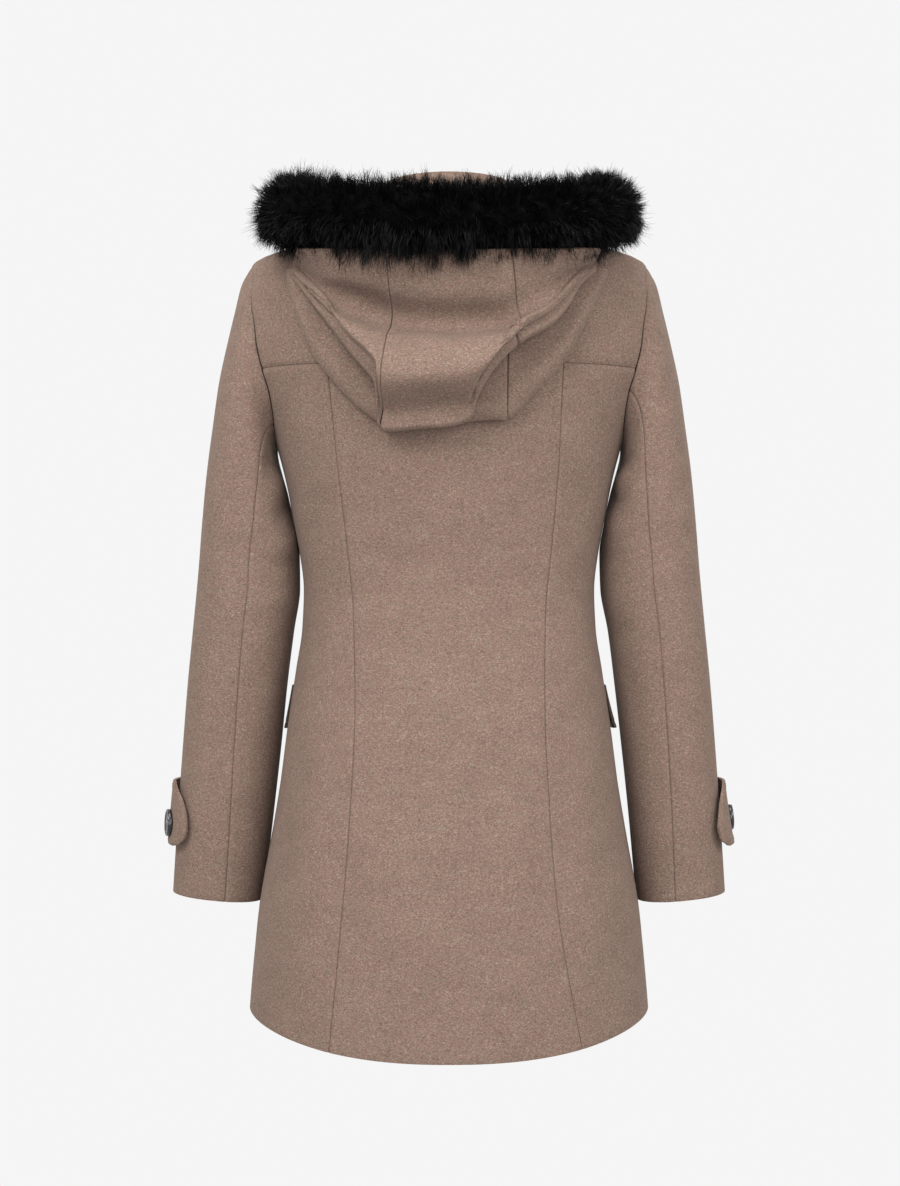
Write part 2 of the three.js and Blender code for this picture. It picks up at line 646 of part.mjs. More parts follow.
function collarStand() {
  const end = degrees(collar.endAngle);
  const surface = (u, v) => {
    const angle = u * end;
    const height = mix(collar.backHeight, collar.frontHeight, (1 - Math.cos(angle)) / 2);
    const depth = Math.cos(angle) > 0 ? -neck.back : -neck.front;
    const shrink = mix(1, collar.lean, v);
    return new THREE.Vector3(neck.halfWidth * Math.sin(angle) * shrink,
      depth * Math.cos(angle) * shrink, necklineHeight(angle) + 3 * seamGap + height * v);
  };
  return clothPanel('collar_stand', steps(3), steps(32, -1, 1), surface,
    (u, v) => surfaceNormal(surface, u, v, 0.004, 0.02), collar.wall);
}

const furCurves = Object.fromEntries(
  ['x', 'y', 'z', 'radius'].map((name) => [name, curve(furRows, 'at', name)]),
);

function furMiddle(at) {
  const share = Math.abs(at);
  const side = at < 0 ? -1 : 1;
  return new THREE.Vector3(side * furCurves.x(share), furCurves.y(share), furCurves.z(share));
}

// The roll of fur: rings round its middle line, closed at both ends
function furTrim() {
  const around = 12;
  const stations = steps(34, -1, 1);
  const vertices = [];
  const faces = [];
  stations.forEach((at) => {
    const centre = furMiddle(at);
    const nudge = 0.01;
    const ahead = furMiddle(Math.min(1, at + nudge)).sub(furMiddle(Math.max(-1, at - nudge))).normalize();
    const out = new THREE.Vector3(0, 0, 1).cross(ahead).normalize();
    const up = ahead.clone().cross(out);
    steps(around).slice(0, -1).forEach((turn) => {
      const angle = turn * 2 * Math.PI;
      const rim = centre.clone()
        .addScaledVector(out, furCurves.radius(Math.abs(at)) * Math.cos(angle))
        .addScaledVector(up, furCurves.radius(Math.abs(at)) * Math.sin(angle));
      vertices.push(...rim.toArray());
    });
  });
  const ringAt = (i, k) => i * around + (k % around);
  for (let i = 0; i < stations.length - 1; i += 1) {
    for (let k = 0; k < around; k += 1) {
      faces.push(ringAt(i, k), ringAt(i, k + 1), ringAt(i + 1, k + 1));
      faces.push(ringAt(i, k), ringAt(i + 1, k + 1), ringAt(i + 1, k));
    }
  }
  [0, stations.length - 1].forEach((i) => {
    const tip = vertices.push(...furMiddle(stations[i]).toArray()) / 3 - 1;
    for (let k = 0; k < around; k += 1) {
      faces.push(...(i === 0 ? [tip, ringAt(i, k + 1), ringAt(i, k)] : [tip, ringAt(i, k), ringAt(i, k + 1)]));
    }
  });
  const geometry = new THREE.BufferGeometry();
  geometry.setAttribute('position', new THREE.Float32BufferAttribute(vertices, 3));
  geometry.setIndex(faces);
  return namedMesh('fur_trim', facingOut(geometry), fur);
}

// Line of cloth from the neck down the inside of the pouch, round its fold and up to the fur
function hoodProfile(row) {
  const angle = degrees(row.u * 74);
  const neckX = neck.halfWidth * Math.sin(angle);
  const start = new THREE.Vector3(neckX * 1.02, -neck.back * 1.02 * Math.cos(angle), hoodLift.neck);
  const over = (shareToNeck, name, lift) => overBack(
    mix(row[`${name}X`], neckX, shareToNeck), mix(row[`${name}Z`], -6, shareToNeck), lift);
  const standOff = furCurves.radius(0) + mix(hoodLift.fur, hoodLift.furAtSide, row.u ** 2);
  const belowFur = new THREE.Vector3(0, -0.5, -0.866).multiplyScalar(standOff);
  return [
    start,
    over(0.86, 'fold', hoodLift.inner),
    over(0.6, 'fold', hoodLift.inner),
    over(0.35, 'fold', hoodLift.inner),
    over(0.12, 'fold', hoodLift.inner),
    over(0, 'fold', hoodLift.fold),
    over(0.06, 'fold', hoodLift.lower),
    over(0.03, 'edge', Math.min(hoodLift.tuck, row.edgeLift * 0.6)),
    over(0, 'edge', row.edgeLift * 0.78),
    over(0.012, 'edge', row.edgeLift),
    over(0.08, 'edge', row.edgeLift * 1.08),
    over(0, 'bulge', row.bulgeLift),
    over(0, 'valley', row.valleyLift),
    furMiddle(row.furAt).add(belowFur),
  ];
}

const hoodProfiles = hoodRows.map(hoodProfile);

function hoodPoint(u, v) {
  const next = Math.max(1, hoodRows.findIndex((row) => row.u >= u));
  const span = hoodRows[next].u - hoodRows[next - 1].u;
  const place = (next - 1 + (u - hoodRows[next - 1].u) / span) / (hoodRows.length - 1);
  const across = hoodProfiles[0].map((_, k) => {
    const points = hoodProfiles.map((profile) => profile[k]);
    return new THREE.CatmullRomCurve3(points, false, 'centripetal').getPoint(place);
  });
  return new THREE.CatmullRomCurve3(across, false, 'centripetal').getPoint(v);
}

const hoodStations = [
  0, 0.4, 0.8, 1.2, 1.6, 2, 2.5, 3, 3.5, 4, 4.6, 5, 5.5, 6, 6.5, 7, 7.5, 8, 8.4, 8.8, 9.2, 9.7, 10.2, 10.8,
  11.4, 12, 12.5, 13,
].map((place) => place / (hoodProfiles[0].length - 1));

function hoodPiece(name, from, to, columns) {
  const memory = new Map();
  const surface = (u, v) => {
    const key = `${u}/${v}`;
    if (!memory.has(key)) memory.set(key, hoodPoint(Math.min(1, Math.max(-1, u)), Math.min(1, Math.max(0, v))));
    return memory.get(key).clone();
  };
  const normal = (u, v) => surfaceNormal(surface, u, v, 0.01, 0.006);
  const inset = (u, v) => {
    const width = surface(u + 0.01, v).distanceTo(surface(u - 0.01, v)) / 0.02;
    if (Math.abs(u) === 1) return u;
    if (u === from) return u + hoodSeamInset / width;
    return u === to ? u - hoodSeamInset / width : u;
  };
  const place = (u, v) => [inset(u, v), v];
  return clothPanel(name, hoodStations, steps(columns, from, to),
    (u, v) => surface(...place(u, v)), (u, v) => normal(...place(u, v)));
}

function hood() {
  return [
    hoodPiece('hood_centre', -hoodSeam, hoodSeam, 10),
    hoodPiece('hood_side_left', -1, -hoodSeam, 9),
    hoodPiece('hood_side_right', hoodSeam, 1, 9),
  ];
}

// A place over the front by distance across, height and lift
function overFront(x, z, lift) {
  const turn = Math.PI - Math.sign(x) * turnAcross(z, x);
  return bodyPoint(z, turn).addScaledVector(bodyNormal(z, turn), lift);
}

function frontPatch(name, start, height) {
  const place = (u, v) => [start + patch.width * u, height + patch.height * (v - 0.5)];
  return clothPanel(name, steps(2), steps(4),
    (u, v) => overFront(...place(1 - u, v), patch.lift + patch.wall),
    (u, v) => {
      const [x, z] = place(1 - u, v);
      return overFront(x, z, 1).sub(overFront(x, z, 0)).normalize();
    }, patch.wall, leather);
}

// A cord of round section along a smooth line, with flat ends
function cordMesh(name, points, segments) {
  const sides = 6;
  const line = new THREE.CatmullRomCurve3(points, false, 'centripetal');
  const tube = mergeVertices(new THREE.TubeGeometry(line, segments, toggle.cord, sides)
    .deleteAttribute('uv').deleteAttribute('normal'), 1e-4);
  const at = tube.getAttribute('position');
  const vertices = Array.from(at.array);
  const faces = Array.from(tube.getIndex().array);
  [0, 1].forEach((end) => {
    const centre = line.getPoint(end);
    const ring = steps(at.count - 1, 0, at.count - 1).map(Math.round)
      .filter((k) => Math.abs(centre.distanceTo(new THREE.Vector3().fromBufferAttribute(at, k)) - toggle.cord) < 0.05);
    const middle = vertices.push(...centre.toArray()) / 3 - 1;
    ring.forEach((k, i) => {
      const next = ring[(i + 1) % ring.length];
      faces.push(...(end === 0 ? [middle, k, next] : [middle, next, k]));
    });
  });
  const geometry = new THREE.BufferGeometry();
  geometry.setAttribute('position', new THREE.Float32BufferAttribute(vertices, 3));
  geometry.setIndex(faces);
  return namedMesh(name, facingOut(geometry), cordage);
}

// One fastening of the front: a horn toggle on its cord, held by a loop from the other side
function fastening(number, height) {
  const { middle, cord, loopHalf, rise, gap } = toggle;
  const low = gap + cord + 0.1;
  const high = low + 2 * cord + gap;
  const loopStart = patch.rightStart - gap;
  const loop = [
    ...[loopStart, loopStart - 20, middle + 8].map((x) => overFront(x, height + loopHalf, low)),
    ...[60, 0, -60].map((angle) => overFront(middle - loopHalf * Math.cos(degrees(angle)),
      height + loopHalf * Math.sin(degrees(angle)), low)),
    ...[middle + 8, loopStart - 20, loopStart].map((x) => overFront(x, height - loopHalf, low)),
  ];
  const cordStart = patch.leftStart + patch.width + gap;
  const held = [cordStart, cordStart + 6, cordStart + rise, middle - 14, middle]
    .map((x, i) => overFront(x, height, i < 2 ? low : high));
  const profile = [[0, -1], [0.5, -0.96], [0.8, -0.8], [1, -0.3], [0.94, 0], [1, 0.3], [0.8, 0.8], [0.5, 0.96], [0, 1]]
    .map(([x, y]) => new THREE.Vector2(x * toggle.radius, y * toggle.length / 2));
  const barrel = namedMesh(`toggle_${number}`, geometryOf(manifoldOf(new THREE.LatheGeometry(profile, 12))), horn);
  barrel.position.copy(overFront(middle, height, high + cord + gap + toggle.radius));
  const across = overFront(middle + 5, height, 0).sub(overFront(middle - 5, height, 0)).normalize();
  barrel.quaternion.setFromUnitVectors(new THREE.Vector3(0, 1, 0), across);
  return [
    barrel,
    cordMesh(`toggle_cord_${number}`, held, 8),
    cordMesh(`toggle_loop_${number}`, loop, 18),
    frontPatch(`toggle_patch_left_${number}`, patch.leftStart, height),
    frontPatch(`toggle_patch_right_${number}`, patch.rightStart, height),
  ];
}

const coat = new THREE.Group();
coat.add(backYoke(), backCentre());
[['left', -1], ['right', 1]].forEach(([word, side]) => {
  coat.add(backSide(`back_side_${word}`, side), front(`front_${word}`, side));
  coat.add(...sleeve(word, side), cuffTabPiece(word, side), cuffButton(word, side));
  coat.add(...pocketFlap(word, side));
});
coat.add(collarStand(), ...hood(), furTrim());
toggleHeights.forEach((height, index) => coat.add(...fastening(index + 1, height)));

export default coat;
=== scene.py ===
import math

import bmesh
import bpy
import numpy as np
from mathutils import Matrix, Vector


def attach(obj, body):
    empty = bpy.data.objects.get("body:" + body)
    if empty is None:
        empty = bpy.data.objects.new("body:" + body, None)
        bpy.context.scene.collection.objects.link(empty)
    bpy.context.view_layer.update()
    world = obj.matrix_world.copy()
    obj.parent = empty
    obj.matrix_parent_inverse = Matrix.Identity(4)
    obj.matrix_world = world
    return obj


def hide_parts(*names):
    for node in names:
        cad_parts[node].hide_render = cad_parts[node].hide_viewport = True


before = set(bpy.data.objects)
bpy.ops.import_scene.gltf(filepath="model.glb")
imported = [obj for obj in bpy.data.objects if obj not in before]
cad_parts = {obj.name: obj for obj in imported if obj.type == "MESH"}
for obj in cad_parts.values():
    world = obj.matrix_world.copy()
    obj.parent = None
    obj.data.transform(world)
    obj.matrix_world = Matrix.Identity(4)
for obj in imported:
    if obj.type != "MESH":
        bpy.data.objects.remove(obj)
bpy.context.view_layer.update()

# Short hooded wool coat, filled out as worn with nobody in it, seen from behind.
# Shapes are worked out in millimetres on the frame's own form, and set down in metres.

millimetre = 0.001
random = np.random.default_rng(31)


def mix(a, b, share):
    return a + (b - a) * share


def smoothstep(value, low, high):
    share = np.clip((value - low) / (high - low), 0, 1)
    return share * share * (3 - 2 * share)


def curve(form, along, value):  # a smooth value along a column that never overshoots its rows
    order = np.argsort(form[along])
    x = np.array(form[along], float)[order]
    y = np.array(form[value], float)[order]
    secant = np.diff(y) / np.diff(x)
    slope = np.zeros_like(y)
    slope[0], slope[-1] = secant[0], secant[-1]
    product = secant[:-1] * secant[1:]
    slope[1:-1] = np.where(product > 0, 2 * product / np.where(product > 0, secant[:-1] + secant[1:], 1), 0)

    def valueAt(place):
        place = np.asarray(place, float)
        i = np.clip(np.searchsorted(x, place) - 1, 0, len(x) - 2)
        span = x[i + 1] - x[i]
        share = np.clip((place - x[i]) / span, 0, 1)
        bend = span * share * (1 - share) * ((1 - share) * slope[i] - share * slope[i + 1])
        return mix(y[i], y[i + 1], share * share * (3 - 2 * share)) + bend
    return valueAt


def spline(points, places):  # Catmull-Rom through points[k] at places counted in points
    ends = [2 * points[:1] - points[1:2], points, 2 * points[-1:] - points[-2:-1]]
    padded = np.concatenate(ends)
    i = np.clip(places.astype(int), 0, len(points) - 2)
    share = (places - i).reshape((-1,) + (1,) * (points.ndim - 1))
    before, start, stop, after = (padded[i + k] for k in range(4))
    reach = [np.maximum(np.linalg.norm(b - a, axis=-1, keepdims=True), 1e-6) ** 0.5
             for a, b in ((before, start), (start, stop), (stop, after))]
    leave = reach[1] * ((start - before) / reach[0] - (stop - before) / (reach[0] + reach[1])
                        + (stop - start) / reach[1])
    arrive = reach[1] * ((stop - start) / reach[1] - (after - start) / (reach[1] + reach[2])
                         + (after - stop) / reach[2])
    rise = 3 * (stop - start) - 2 * leave - arrive
    turn = 2 * (start - stop) + leave + arrive
    return start + share * (leave + share * (rise + share * turn))


def unit(vectors):
    return vectors / np.maximum(np.linalg.norm(vectors, axis=-1, keepdims=True), 1e-9)


def gridNormals(points):
    return unit(np.cross(np.gradient(points, axis=1), np.gradient(points, axis=0)))


def denser(count, start=0.0, stop=1.0, gather=0.55):  # steps that close up towards both ends
    even = np.linspace(0, 1, count + 1)
    return mix(start, stop, even - gather * np.sin(2 * np.pi * even) / (2 * np.pi))


def linear(code):
    parts = [int(code[i:i + 2], 16) / 255 for i in (1, 3, 5)]
    return [p / 12.92 if p <= 0.04045 else ((p + 0.055) / 1.055) ** 2.4 for p in parts] + [1.0]


def addNode(material, kind, sockets=None, links=None, **settings):
    node = material.node_tree.nodes.new("ShaderNode" + kind)
    for name, value in settings.items():
        setattr(node, name, value)
    for name, value in (sockets or {}).items():
        node.inputs[name].default_value = value
    for name, source in (links or {}).items():
        material.node_tree.links.new(source, node.inputs[name])
    return node


def newMaterial(name, **sockets):
    material = bpy.data.materials.new(name)
    material.use_nodes = True
    shader = material.node_tree.nodes["Principled BSDF"]
    for socket, value in sockets.items():
        shader.inputs[socket].default_value = value
    return material, shader


def colourRamp(material, factor, stops, interpolation="LINEAR"):
    ramp = addNode(material, "ValToRGB", links={"Fac": factor}).color_ramp
    ramp.interpolation = interpolation
    while len(ramp.elements) < len(stops):
        ramp.elements.new(0.5)
    for element, (place, code) in zip(ramp.elements, stops):
        element.position = place
        element.color = linear(code)
    return material.node_tree.nodes[-1].outputs["Color"]


wool = {
    "fleckMm": 1.8,        # tufts of the brushed nap
    "yarnMm": 4.5,         # patches of the two yarns, one rosy and one grey
    "cloudMm": 34,         # slow change in the mix of fibres
    "stretch": 1.5,        # tufts lie longer across the coat than down it
    "rosy": [(0.30, "#503d36"), (0.45, "#634f47"), (0.56, "#6f5950"), (0.70, "#836b5f")],
    "grey": [(0.30, "#4d4038"), (0.45, "#605248"), (0.56, "#6b5d52"), (0.70, "#827467")],
    "napHeightMm": 0.5,
}


def woolCloth():
    # Brushed wool coating in two heathered yarns under a short raised nap: matt, mottled in
    # millimetre tufts, and a little lighter where it turns away from the eye
    material, shader = newMaterial("heathered brushed wool", Roughness=0.95, IOR=1.45)
    shader.inputs["Specular IOR Level"].default_value = 0.12
    shader.inputs["Sheen Weight"].default_value = 0.12
    shader.inputs["Sheen Roughness"].default_value = 0.5
    shader.inputs["Sheen Tint"].default_value = linear("#c6b9ad")
    place = addNode(material, "TexCoord").outputs["Object"]
    across = addNode(
        material, "Mapping", {"Scale": (1, 1, wool["stretch"])}, {"Vector": place}).outputs["Vector"]
    fleck, yarn, cloud = (
        addNode(material, "TexNoise", {
            "Scale": 1 / (wool[size] * millimetre), "Detail": detail, "Roughness": rough,
                                       "Distortion": bend}, {"Vector": across}).outputs["Fac"]
        for size, detail, rough, bend in (
            ("fleckMm", 2.0, 0.7, 0.8), ("yarnMm", 3.0, 0.7, 0.4), ("cloudMm", 2.0, 0.5, 0.0)))
    tone = addNode(material, "Mix", {0: 0.10}, {2: fleck, 3: cloud}, data_type="FLOAT").outputs[0]
    rosy, grey = (colourRamp(material, tone, wool[name]) for name in ("rosy", "grey"))
    share = colourRamp(material, yarn, [(0.36, "#000000"), (0.64, "#ffffff")])
    colour = addNode(material, "Mix", {}, {0: share, 6: rosy, 7: grey}, data_type="RGBA").outputs[2]
    nap = addNode(material, "Bump", {"Strength": 0.6, "Distance": wool["napHeightMm"] * millimetre},
                  {"Height": fleck}).outputs["Normal"]
    material.node_tree.links.new(colour, shader.inputs["Base Color"])
    material.node_tree.links.new(nap, shader.inputs["Normal"])
    return material


def satinLining():
    # Dark woven satin on the back of the flaps: smooth threads about 0.3 mm apart, drawn at 1 mm
    material, shader = newMaterial("dark satin lining", Roughness=0.5, IOR=1.46)
    place = addNode(material, "TexCoord").outputs["Object"]
    thread = addNode(material, "TexNoise", {"Scale": 900.0, "Detail": 1.0}, {"Vector": place}).outputs["Fac"]
    colour = colourRamp(material, thread, [(0.35, "#17110f"), (0.65, "#2a201d")])
    weave = addNode(
        material, "Bump", {"Strength": 0.3, "Distance": 0.0001}, {"Height": thread}).outputs["Normal"]
    material.node_tree.links.new(colour, shader.inputs["Base Color"])
    material.node_tree.links.new(weave, shader.inputs["Normal"])
    return material


def furHair():
    # Dyed black fur: smooth hairs that take a cool grey glint along their bend
    material, shader = newMaterial("dyed black fur", Roughness=0.45, IOR=1.5)
    shader.inputs["Specular IOR Level"].default_value = 0.12
    place = addNode(material, "TexCoord").outputs["Object"]
    tuft = addNode(material, "TexNoise", {"Scale": 160.0, "Detail": 2.0}, {"Vector": place}).outputs["Fac"]
    colour = colourRamp(material, tuft, [(0.35, "#020203"), (0.7, "#070708")])
    material.node_tree.links.new(colour, shader.inputs["Base Color"])
    return material


def furBacking():
    # The dense underfur between the hairs, which lets nothing through
    material, shader = newMaterial("black underfur", Roughness=0.95, IOR=1.4)
    shader.inputs["Specular IOR Level"].default_value = 0.05
    place = addNode(material, "TexCoord").outputs["Object"]
    tuft = addNode(material, "TexNoise", {"Scale": 220.0, "Detail": 2.0}, {"Vector": place}).outputs["Fac"]
    colour = colourRamp(material, tuft, [(0.3, "#020202"), (0.7, "#060607")])
    material.node_tree.links.new(colour, shader.inputs["Base Color"])
    return material


def marbledResin():
    # Cast polyester button face: smoky grey veins in black, polished
    material, shader = newMaterial("marbled grey resin", Roughness=0.22, IOR=1.54)
    place = addNode(material, "TexCoord").outputs["Object"]
    wander = addNode(material, "TexNoise", {"Scale": 150.0, "Detail": 3.0, "Distortion": 1.4},
                     {"Vector": place}).outputs["Fac"]
    colour = colourRamp(material, wander, [(0.38, "#0e0e10"), (0.52, "#29292b"), (0.66, "#7a7a7d")])
    material.node_tree.links.new(colour, shader.inputs["Base Color"])
    return material


def blackResin():
    # The same button's black body, polished at the rim and dull in the holes
    material, shader = newMaterial("black resin", Roughness=0.24, IOR=1.54)
    place = addNode(material, "TexCoord").outputs["Object"]
    wear = addNode(material, "TexNoise", {"Scale": 500.0, "Detail": 2.0}, {"Vector": place}).outputs["Fac"]
    colour = colourRamp(material, wear, [(0.4, "#0c0c0e"), (0.7, "#19191c")])
    material.node_tree.links.new(colour, shader.inputs["Base Color"])
    return material


def sewingThread():
    # Spun polyester thread in the cloth's own brown
    material, shader = newMaterial("brown sewing thread", Roughness=0.7, IOR=1.5)
    place = addNode(material, "TexCoord").outputs["Object"]
    twist = addNode(material, "TexNoise", {"Scale": 1500.0}, {"Vector": place}).outputs["Fac"]
    colour = colourRamp(material, twist, [(0.4, "#3f302a"), (0.6, "#5a463d")])
    material.node_tree.links.new(colour, shader.inputs["Base Color"])
    return material


def darkHorn():
    # Polished buffalo horn: near black with brown streaks along the barrel
    material, shader = newMaterial("polished dark horn", Roughness=0.24, IOR=1.55)
    place = addNode(material, "TexCoord").outputs["Object"]
    along = addNode(material, "Mapping", {"Scale": (1, 6, 6)}, {"Vector": place}).outputs["Vector"]
    streak = addNode(material, "TexNoise", {"Scale": 60.0, "Detail": 4.0, "Distortion": 0.6},
                     {"Vector": along}).outputs["Fac"]
    colour = colourRamp(material, streak, [(0.38, "#191311"), (0.55, "#30241e"), (0.68, "#6b5443")])
    material.node_tree.links.new(colour, shader.inputs["Base Color"])
    return material


def braidedCord():
    # Waxed cotton braid, almost black; its plaits are modelled
    material, shader = newMaterial("dark braided cotton cord", Roughness=0.72, IOR=1.5)
    shader.inputs["Specular IOR Level"].default_value = 0.3
    place = addNode(material, "TexCoord").outputs["Object"]
    fibre = addNode(material, "TexNoise", {"Scale": 1400.0, "Detail": 2.0}, {"Vector": place}).outputs["Fac"]
    colour = colourRamp(material, fibre, [(0.35, "#1b1614"), (0.65, "#2d2522")])
    material.node_tree.links.new(colour, shader.inputs["Base Color"])
    return material


def darkLeather():
    # Smooth dark brown leather with a fine pebbled grain
    material, shader = newMaterial("dark smooth leather", Roughness=0.5, IOR=1.5)
    place = addNode(material, "TexCoord").outputs["Object"]
    pebbles = addNode(material, "TexVoronoi", {"Scale": 950.0}, {"Vector": place}, feature="SMOOTH_F1")
    pebble = pebbles.outputs["Distance"]
    shade = addNode(material, "TexNoise", {"Scale": 120.0, "Detail": 3.0}, {"Vector": place}).outputs["Fac"]
    colour = colourRamp(material, shade, [(0.35, "#231b17"), (0.65, "#33271f")])
    grain = addNode(
        material, "Bump", {"Strength": 0.35, "Distance": 0.0002}, {"Height": pebble}).outputs["Normal"]
    material.node_tree.links.new(colour, shader.inputs["Base Color"])
    material.node_tree.links.new(grain, shader.inputs["Normal"])
    return material


finishes = {"toggles": darkHorn(), "cords": braidedCord(), "patches": darkLeather(), "wool": woolCloth(),
            "flap_lining": satinLining(), "fur": furHair(), "underfur": furBacking(),
            "buttons": marbledResin(), "buttonRim": blackResin(), "thread": sewingThread()}
print("finishes made:", len(finishes))


# The coat's own form, in millimetres
bodyForm = {
    "z": [-810, -746, -686, -606, -546, -506, -446, -406, -368, -334, -303, -257, -225, -203, -178, -154,
          -127, -98, -80, -62, -46, -23, 0],
    "halfWidth": [200, 195, 189, 175, 166.5, 161, 152, 146, 144.5, 148, 153.5, 163, 171.5, 178, 188, 200,
                  208, 209, 206, 200, 196, 134, 72],
    "backDepth": [157, 152, 147, 139, 131, 126, 117, 111, 108, 109, 112, 118, 122, 123, 124, 124,
                  123, 120, 117, 113, 108, 94, 72],
    "frontDepth": [158, 154, 150, 144, 138, 134, 128, 124, 121, 121, 123, 127, 128, 128, 127, 125,
                   121, 114, 107, 99, 92, 78, 60],
    "squareness": [2.3, 2.3, 2.3, 2.3, 2.3, 2.3, 2.3, 2.3, 2.3, 2.3, 2.3, 2.3, 2.3, 2.3, 2.3, 2.3,
                   2.3, 2.3, 2.3, 2.2, 2.1, 2, 2],
}
princessForm = {  # distance of the two curved back seams from the centre line
    "z": [-810, -660, -580, -480, -400, -330, -260, -154],
    "left": [113, 99, 93, 89, 91, 97, 105, 115],
    "right": [127, 101, 95, 91, 92, 98, 104, 108],
}
coat = {
    "wall": 2.4, "seamGap": 0.04, "yokeSeamZ": -154,
    "hemSide": -779, "hemBack": -804, "hemFront": -800,
    "armholeTop": -46, "armholeBottom": -225, "armholeHalfDepth": 64,
    "neckHalfWidth": 72, "neckBack": 72, "neckFront": 104,
    "overlapReach": 36, "overlapStep": 3.2, "overlapRamp": 26,
}
seamLook = {"shoulder": 0.75, "shoulderDip": 0.22, "dip": 1.05, "turnIn": 2.4, "ridge": 0.3, "ridgeAt": 4.5,
            "ridgeWidth": 3.0}
body = {name: curve(bodyForm, "z", name) for name in bodyForm if name != "z"}
armholeMiddle = (coat["armholeTop"] + coat["armholeBottom"]) / 2
armholeHalfHeight = (coat["armholeTop"] - coat["armholeBottom"]) / 2


def bodyPoint(z, turn):  # turn is 0 at the centre back and a right angle at the side
    z, turn = np.broadcast_arrays(np.asarray(z, float), np.asarray(turn, float))
    power = 2 / body["squareness"](z)
    sine, cosine = np.sin(turn), np.cos(turn)
    depth = np.where(cosine > 0, -body["backDepth"](z), body["frontDepth"](z))
    return np.stack([np.sign(sine) * body["halfWidth"](z) * np.abs(sine) ** power,
                     depth * np.abs(cosine) ** power, z], -1)


def bodyNormal(z, turn):
    across = bodyPoint(z, turn + 0.02) - bodyPoint(z, turn - 0.02)
    upward = bodyPoint(z + 1.0, turn) - bodyPoint(z - 1.0, turn)
    return unit(np.cross(across, upward))


def turnAcross(z, x):
    share = np.minimum(1, np.abs(x) / body["halfWidth"](z))
    return np.arcsin(share ** (body["squareness"](z) / 2))


def turnInDepth(z, y):
    depth = np.where(y < 0, body["backDepth"](z), body["frontDepth"](z))
    turn = np.arccos(np.minimum(1, np.abs(y) / depth) ** (body["squareness"](z) / 2))
    return np.where(y < 0, turn, np.pi - turn)


def overBack(x, z, lift):
    turn = np.sign(x) * turnAcross(z, np.minimum(np.abs(x), body["halfWidth"](z) * 0.985))
    return bodyPoint(z, turn) + bodyNormal(z, turn) * np.asarray(lift, float)[..., None]


def armholePoint(angle):
    z = armholeMiddle + armholeHalfHeight * np.cos(np.radians(angle))
    return bodyPoint(z, turnInDepth(z, -coat["armholeHalfDepth"] * np.sin(np.radians(angle))))


def edgeTurn(z, atFront):  # where a body panel ends: side seam, armhole or shoulder seam
    share = np.clip((z - armholeMiddle) / armholeHalfHeight, -1, 1)
    depth = coat["armholeHalfDepth"] * np.sqrt(1 - share ** 2)
    inside = (z > coat["armholeBottom"]) & (z < coat["armholeTop"])
    return np.where(inside, turnInDepth(z, depth if atFront else -depth), np.pi / 2)


def halfGapTurn(z, turn):
    probe = 0.01
    step = np.linalg.norm(bodyPoint(z, turn) - bodyPoint(z, turn - probe), axis=-1)
    return probe * coat["seamGap"] / 2 / np.maximum(step, 1e-6)


def hemHeight(turn):
    cosine = np.cos(turn)
    return mix(coat["hemSide"], np.where(cosine > 0, coat["hemBack"], coat["hemFront"]), cosine ** 2)


def rowHeight(row, turn):  # rows below the armpit are drawn out to the hem's own height
    share = (row - coat["hemFront"]) / (coat["armholeBottom"] - coat["hemFront"])
    return np.where(share < 1, mix(hemHeight(turn), coat["armholeBottom"], share), row)


def princessTurn(z, side):
    return turnAcross(z, curve(princessForm, "z", "left" if side < 0 else "right")(z))


def necklineHeight(angle):
    depth = np.where(np.cos(angle) > 0, coat["neckBack"], coat["neckFront"])
    x, y = coat["neckHalfWidth"] * np.sin(angle), depth * np.cos(angle)
    low, high = np.full(np.shape(angle), -130.0), np.zeros(np.shape(angle))
    for _ in range(30):
        z = (low + high) / 2
        bodyDepth = np.where(np.cos(angle) > 0, body["backDepth"](z), body["frontDepth"](z))
        power = body["squareness"](z)
        inside = np.abs(x / body["halfWidth"](z)) ** power + np.abs(y / bodyDepth) ** power < 1
        low, high = np.where(inside, z, low), np.where(inside, high, z)
    return high


def foldLift(folds, across, along):  # soft troughs and ridges laid along short lines
    lift = np.zeros(np.shape(across))
    for line, width, height in folds:
        points = np.array(line, float)
        parts = np.linalg.norm(np.diff(points, axis=0), axis=1)
        nearest = np.full(lift.shape, 1e9)
        share = np.zeros(lift.shape)
        walked = 0.0
        for start, stop, length in zip(points[:-1], points[1:], parts):
            way = (stop - start) / length
            t = np.clip((across - start[0]) * way[0] + (along - start[1]) * way[1], 0, length)
            gap = np.hypot(across - start[0] - t * way[0], along - start[1] - t * way[1])
            share = np.where(gap < nearest, (walked + t) / parts.sum(), share)
            nearest = np.minimum(gap, nearest)
            walked += length
        ends = smoothstep(share, 0, 0.35) * (1 - smoothstep(share, 0.65, 1))
        lift += height * np.exp(-(nearest / width) ** 2) * ends
    return lift


def seamRidge(points, seams):  # a soft ridge beside each seam, over the cloth turned in beneath
    lift = np.zeros(points.shape[:2])
    for seam in seams:
        axis = 1 if seam in ("left", "right") else 0
        step = np.linalg.norm(np.diff(points, axis=axis), axis=-1)
        away = np.concatenate([np.zeros_like(np.take(step, [0], axis)), np.cumsum(step, axis)], axis)
        if seam in ("right", "top"):
            away = np.take(away, [-1], axis) - away
        lift += seamLook["ridge"] * np.exp(-((away - seamLook["ridgeAt"]) / seamLook["ridgeWidth"]) ** 2)
    return lift


